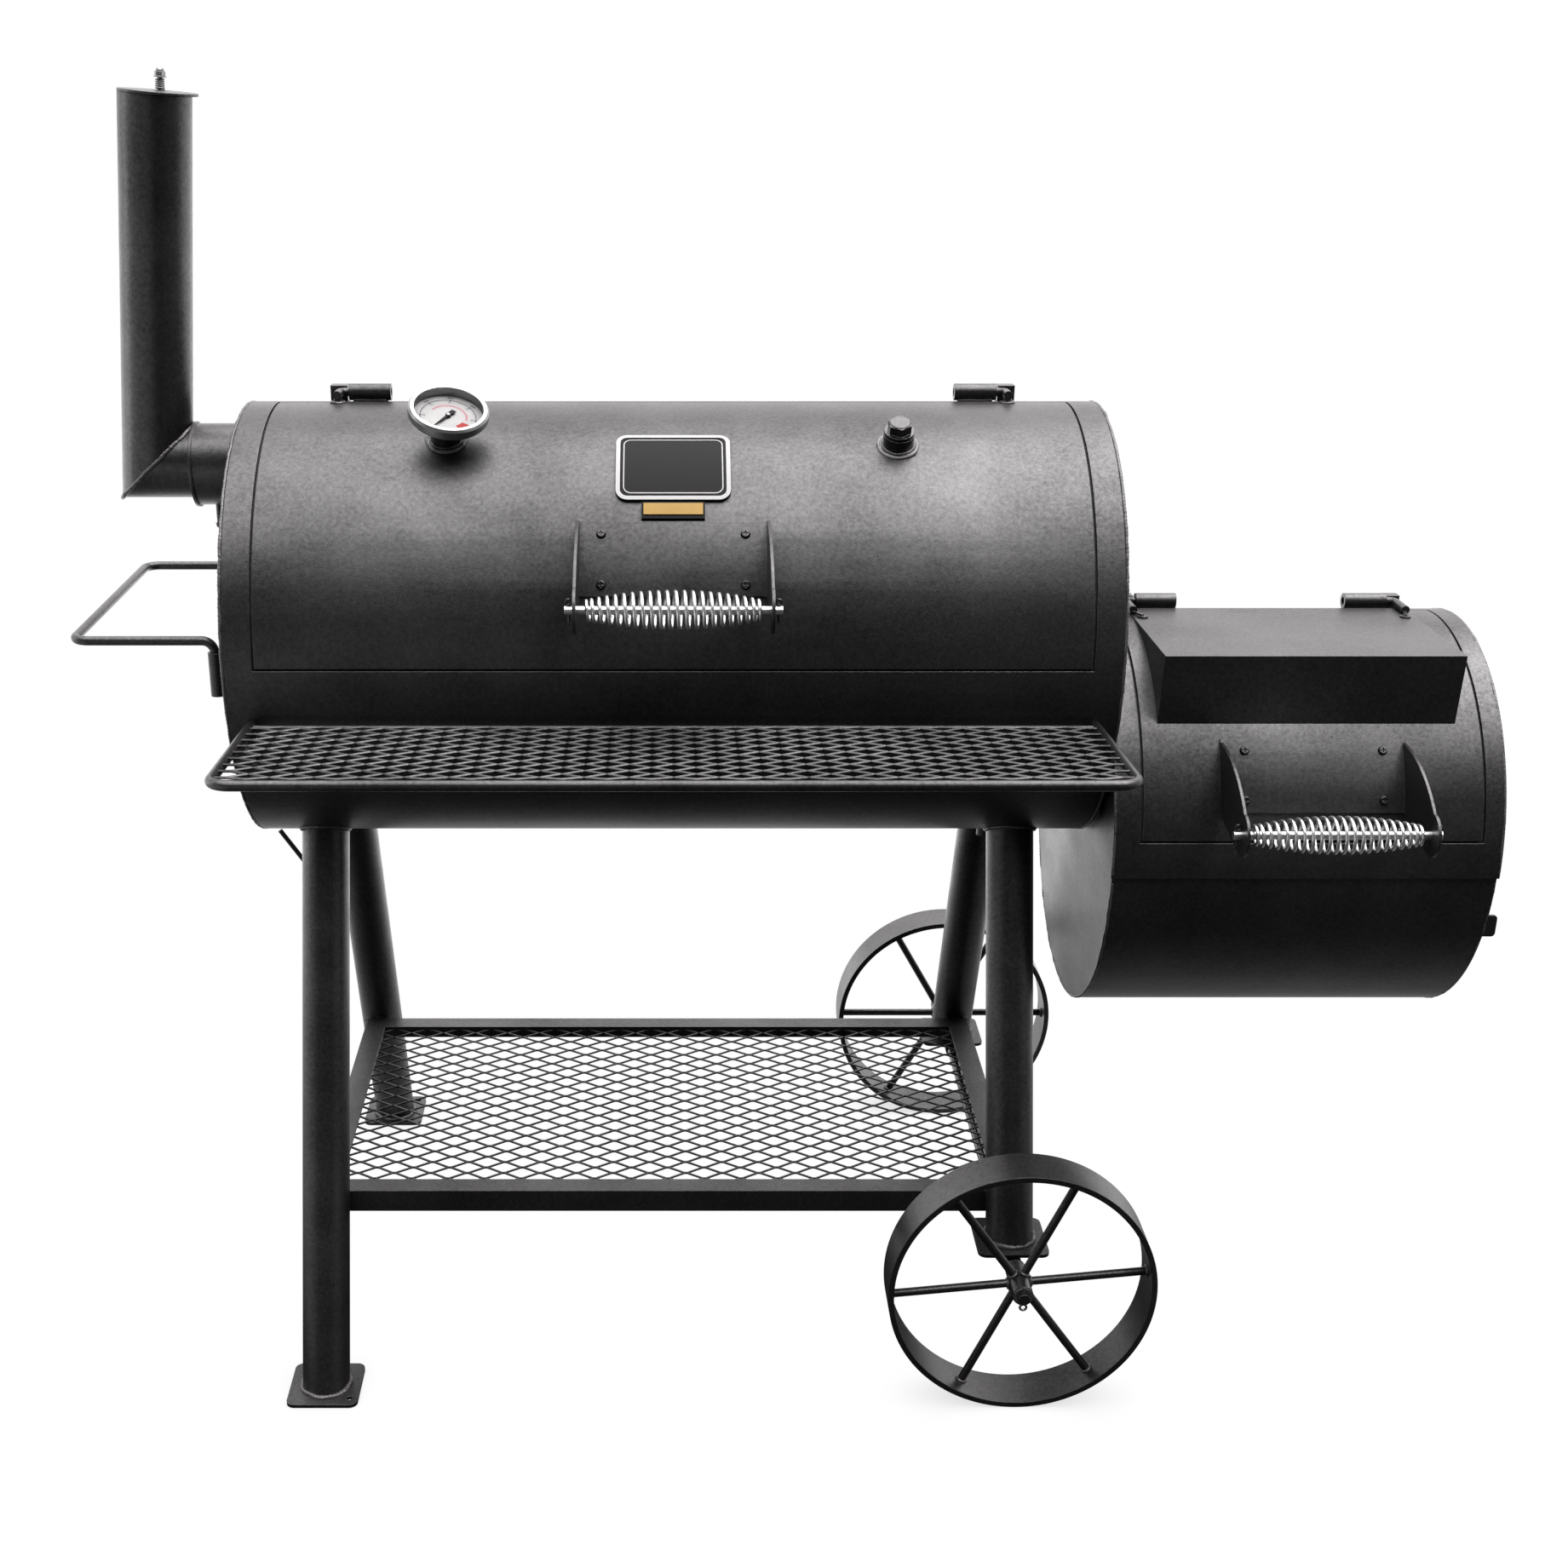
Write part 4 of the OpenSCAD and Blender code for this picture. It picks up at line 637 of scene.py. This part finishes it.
def sector(r0, r1, a0, a1, z, n=40):
    """Part of a flat ring on the dial."""
    turn = [math.radians(a0 + (a1 - a0) * i / n) for i in range(n + 1)]
    verts = [DIAL @ Vector((r * math.cos(t), r * math.sin(t), z)) for r in (r1, r0) for t in turn]
    faces = [(i, i + 1, n + 2 + i, n + 1 + i) for i in range(n)]
    return verts, faces


def tick(a, r0, r1, w, z):
    """Radial mark on the dial, of half width w."""
    c, s = math.cos(math.radians(a)), math.sin(math.radians(a))
    corners = ((r0, w), (r1, w), (r1, -w), (r0, -w))
    return flat_shape([(r * c + v * s, r * s - v * c) for r, v in corners], z)


ink, grey = Batch(), Batch()
for i in range(61):
    a = COLD + (HOT - COLD) * i / 60
    if i % 10 == 0:
        ink.add(*tick(a, 0.0254, 0.0290, 0.00045, FACE_Z + 0.0002))
    else:
        ink.add(*tick(a, 0.0260 if i % 5 == 0 else 0.0267, 0.0278, 0.00018, FACE_Z + 0.0002))
ink.add(*sector(0.0276, 0.0282, HOT, COLD, FACE_Z + 0.00018, 90))
ink.make("dial_ticks", "main_lid_body", "ink", False)
for i in range(31):
    a = COLD + (HOT - COLD) * i / 30
    grey.add(*tick(a, 0.0206, 0.0216, 0.00012, FACE_Z + 0.0002))
grey.make("dial_inner_ticks", "main_lid_body", "grey_ink", False)
band = Batch()
band.add(*sector(0.0172, 0.0196, -12, 152, FACE_Z + 0.00012, 60))
band.make("dial_band", "main_lid_body", "pink", False)
block = Batch()
block.add(*sector(0.0160, 0.0262, -58, -26, FACE_Z + 0.00015, 16))
block.make("dial_hot_zone", "main_lid_body", "red", False)

for k in range(7):
    a = math.radians(COLD + (HOT - COLD) * k / 6)
    for text, r, size, key in ((str(k * 100 + 100), 0.0314, 0.0042, "ink"),
                               (str(k * 50 + 50), 0.0236, 0.0027, "grey_ink")):
        c = bpy.data.curves.new("dial_number_%s_%d" % (text, k), "FONT")
        c.body = text
        c.size = size
        c.align_x = c.align_y = "CENTER"
        c.resolution_u = 3
        t = bpy.data.objects.new("dial_number_tmp", c)
        bpy.context.scene.collection.objects.link(t)
        bpy.context.view_layer.update()
        graph = bpy.context.evaluated_depsgraph_get()
        me = bpy.data.meshes.new_from_object(t.evaluated_get(graph))
        bpy.data.objects.remove(t)
        spot = Matrix.Translation((r * math.cos(a), r * math.sin(a), FACE_Z + 0.00022))
        me.transform(ORIGIN @ DIAL @ spot @ Matrix.Rotation(a - math.pi / 2, 4, "Z"))
        me.materials.clear()
        me.materials.append(M[key])
        side = "outer" if key == "ink" else "inner"
        o = bpy.data.objects.new("dial_number_%d_%s" % (k, side), me)
        bpy.context.scene.collection.objects.link(o)
        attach(o, "main_lid_body")

# Hub cap of the pointer
hub = Batch()
prof = [(0.0, 0.0018), (0.0012, 0.0017), (0.0023, 0.0011), (0.0026, 0.0)]
verts, faces = [], []
for r, z in prof:
    for k in range(24):
        a = 2 * math.pi * k / 24
        verts.append(DIAL @ Vector((r * math.cos(a), r * math.sin(a), 0.0309 + z)))
for j in range(3):
    for k in range(24):
        m = (k + 1) % 24
        faces.append((j * 24 + k, j * 24 + m, j * 24 + 24 + m, j * 24 + 24 + k))
hub.add(verts, faces)
hub.make("pointer_hub", "needle_body", "polished")

# ---- badge border ----
def badge_point(x, s, lift):
    """Point of the badge's face, from its local x and its height s along the slope."""
    n = on_barrel(0, BADGE_A, 1.0, 0.0)
    u = Vector((1, 0, 0)).cross(n) * -1
    h = math.sqrt((BARREL_R + lift) ** 2 - s * s)
    return Vector((x, 0, BARREL_Z)) + n * h + u * s


def rounded(w, h, r, n=10):
    """Outline of a rectangle with round corners."""
    out = []
    u, v = w / 2 - r, h / 2 - r
    for cx, cy, a0 in ((u, v, 0), (-u, v, 90), (-u, -v, 180), (u, -v, 270)):
        for i in range(n + 1):
            a = math.radians(a0 + 90 * i / n)
            out.append((cx + r * math.cos(a), cy + r * math.sin(a)))
    return out


def border(name, w, h, r, width, lift, tall, key):
    """Raised frame on the badge, following the barrel's curve."""
    outer = rounded(w, h, r)
    inner = rounded(w - 2 * width, h - 2 * width, max(0.001, r - width))
    both = list(zip(outer, inner))
    rows = []
    for (o0, i0), (o1, i1) in zip(both, both[1:] + both[:1]):
        k = max(1, int(math.hypot(o1[0] - o0[0], o1[1] - o0[1]) / 0.004))
        for j in range(k):
            t = j / k
            rows.append([(p[0] + (q[0] - p[0]) * t, p[1] + (q[1] - p[1]) * t)
                         for p, q in ((o0, o1), (i0, i1))])
    verts, faces = [], []
    for out_p, in_p in rows:
        for p, up in ((out_p, 0), (out_p, tall), (in_p, tall), (in_p, 0)):
            verts.append(badge_point(*p, lift + up))
    n = len(rows)
    for i in range(n):
        j = (i + 1) % n
        for q in range(3):
            faces.append((i * 4 + q, j * 4 + q, j * 4 + q + 1, i * 4 + q + 1))
    piece(name, verts, faces, "main_lid_body", key, False)


border("badge_border", 0.1136, 0.0876, 0.0118, 0.0042, 0.0029, 0.0009, "badge_rim")
border("badge_inner_line", 0.0990, 0.0730, 0.0080, 0.0011, 0.0029, 0.0005, "badge_rim")

# ---- floor, background, light ----
# The camera sees a white floor with faint contact shadows; the grill is lit by a duller one
floor_mat = Nodes("pale_floor")
ao = floor_mat.add("ShaderNodeAmbientOcclusion", samples=8)
ao.inputs["Distance"].default_value = 0.06
near = floor_mat.ramp(ao.outputs["AO"], (0.15, 0.72), (0.85, 1.0))
seen = floor_mat.add("ShaderNodeEmission")
uneven = floor_mat.math("MULTIPLY", floor_mat.noise(3, 3, 0.5), 0.01)
floor_mat.link(floor_mat.mix(uneven, near, (0.97, 0.97, 0.97)), seen.inputs["Color"])
lit = floor_mat.add("ShaderNodeBsdfDiffuse")
lit.inputs["Color"].default_value = (0.02, 0.02, 0.02, 1)
place = floor_mat.add("ShaderNodeSeparateXYZ")
floor_mat.link(floor_mat.coord, place.inputs[0])
X, Y = place.outputs["X"], place.outputs["Y"]


def floor_glow(value, scale, start, end, level, shift=0.0):
    """Glow of the floor that rises to a level along one direction."""
    at = floor_mat.math("MULTIPLY_ADD", value, scale, shift)
    return floor_mat.math("MULTIPLY", floor_mat.ramp(at, (start, 0.0), (end, 1.0)), level)


left_side = floor_glow(X, -0.4, 0.06, 0.60, 1.2)
right_side = floor_glow(X, 0.25, 0.46, 0.80, 0.144)
behind = floor_glow(Y, 0.4, 0.02, 0.50, 2.3)
below_firebox = floor_mat.math("MULTIPLY", floor_glow(X, 0.5, 0.36, 0.46, 0.28),
                               floor_glow(Y, 1.0, 0.58, 0.95, 1.0, 1.0))
bright = left_side
for glow in (right_side, behind, below_firebox):
    bright = floor_mat.math("MAXIMUM", bright, glow)
glow_floor = floor_mat.add("ShaderNodeEmission")
floor_mat.link(bright, glow_floor.inputs["Strength"])
lit_sum = floor_mat.add("ShaderNodeAddShader")
floor_mat.link(lit.outputs[0], lit_sum.inputs[0])
floor_mat.link(glow_floor.outputs[0], lit_sum.inputs[1])
ray = floor_mat.add("ShaderNodeLightPath")
pick = floor_mat.add("ShaderNodeMixShader")
floor_mat.link(ray.outputs["Is Camera Ray"], pick.inputs[0])
floor_mat.link(lit_sum.outputs[0], pick.inputs[1])
floor_mat.link(seen.outputs[0], pick.inputs[2])
floor_mat.link(pick.outputs[0], floor_mat.out.inputs["Surface"])
me = bpy.data.meshes.new("floor")
corners = [(-30, -30, -0.0003), (30, -30, -0.0003), (30, 30, -0.0003), (-30, 30, -0.0003)]
me.from_pydata(corners, [], [(0, 1, 2, 3)])
me.materials.append(floor_mat.mat)
floor = bpy.data.objects.new("floor", me)
bpy.context.scene.collection.objects.link(floor)

# Studio: bright behind and above, dark in front, white to the camera
world = bpy.data.worlds.new("studio")
bpy.context.scene.world = world
world.use_nodes = True
wt = world.node_tree
wt.nodes.clear()


def wnode(kind, **values):
    n = wt.nodes.new(kind)
    for k, v in values.items():
        setattr(n, k, v)
    return n


def wrange(value, a, b, lo, hi):
    n = wnode("ShaderNodeMapRange", interpolation_type="SMOOTHSTEP")
    wt.links.new(value, n.inputs["Value"])
    for key, v in (("From Min", a), ("From Max", b), ("To Min", lo), ("To Max", hi)):
        n.inputs[key].default_value = v
    return n.outputs["Result"]


def wmath(op, a, b):
    n = wnode("ShaderNodeMath", operation=op)
    for socket, v in zip(n.inputs, (a, b)):
        if isinstance(v, float):
            socket.default_value = v
        else:
            wt.links.new(v, socket)
    return n.outputs[0]


axes = wnode("ShaderNodeSeparateXYZ")
wt.links.new(wnode("ShaderNodeTexCoord").outputs["Generated"], axes.inputs[0])
X, Y, Z = (axes.outputs[k] for k in "XYZ")
back = wmath("MULTIPLY", wrange(Y, 0.0, 0.85, 0.0, 1.0), wrange(Z, -0.25, 0.25, 0.0, 1.0))
back = wmath("MULTIPLY", back, wrange(Z, 0.45, 0.75, 1.0, 0.25))
top = wmath("MULTIPLY", wrange(Z, 0.64, 0.92, 0.0, 1.0), wrange(X, 0.10, 0.36, 1.0, 2.2))
side = wmath("ADD", wrange(X, -0.55, -0.95, 0.0, 1.0), wrange(X, 0.55, 0.95, 0.0, 0.8))
glow = wmath("ADD", wmath("MULTIPLY", back, BACK_GLOW), FRONT_GLOW)
glow = wmath("ADD", glow, wmath("MULTIPLY", top, TOP_GLOW))
glow = wmath("ADD", glow, wmath("MULTIPLY", side, SIDE_GLOW))
bg_cam = wnode("ShaderNodeBackground")
bg_cam.inputs["Color"].default_value = (1, 1, 1, 1)
bg_fill = wnode("ShaderNodeBackground")
bg_fill.inputs["Color"].default_value = (1.0, 0.975, 0.985, 1)
wt.links.new(glow, bg_fill.inputs["Strength"])
seen_by = wnode("ShaderNodeLightPath")
pick = wnode("ShaderNodeMixShader")
wt.links.new(seen_by.outputs["Is Camera Ray"], pick.inputs[0])
wt.links.new(bg_fill.outputs[0], pick.inputs[1])
wt.links.new(bg_cam.outputs[0], pick.inputs[2])
wt.links.new(pick.outputs[0], wnode("ShaderNodeOutputWorld").inputs["Surface"])


def area(name, loc, target, w, h, power):
    """Soft rectangular light aimed at a point."""
    d = bpy.data.lights.new(name, "AREA")
    d.shape = "RECTANGLE"
    d.size, d.size_y = w, h
    d.energy = power
    o = bpy.data.objects.new(name, d)
    o.location = ORIGIN @ Vector(loc)
    o.rotation_euler = (Vector(target) - Vector(loc)).to_track_quat("-Z", "Y").to_euler()
    o.visible_camera = False
    bpy.context.scene.collection.objects.link(o)


area("left_strip", (-2.6, 0.1, 1.4), (0, 0, 0.8), 0.4, 2.0, 10)
area("front_card", (0.3, -2.8, 3.0), (0.1, 0.0, 0.6), 2.4, 0.8, 3)

# ---- camera ----
cam_data = bpy.data.cameras.new("camera")
cam_data.sensor_width = SENSOR_MM
cam_data.lens = LENS_MM
cam_data.shift_x = 0.0766
cam_data.shift_y = 0.0758
cam_data.clip_start, cam_data.clip_end = 0.05, 100
cam = bpy.data.objects.new("camera", cam_data)
cam.location = ORIGIN @ Vector(CAMERA_AT)
cam.rotation_euler = (math.radians(90 - CAMERA_PITCH), 0, 0)
bpy.context.scene.collection.objects.link(cam)
bpy.context.scene.camera = cam

bpy.context.scene.view_settings.view_transform = "Standard"
bpy.context.scene.view_settings.look = "None"
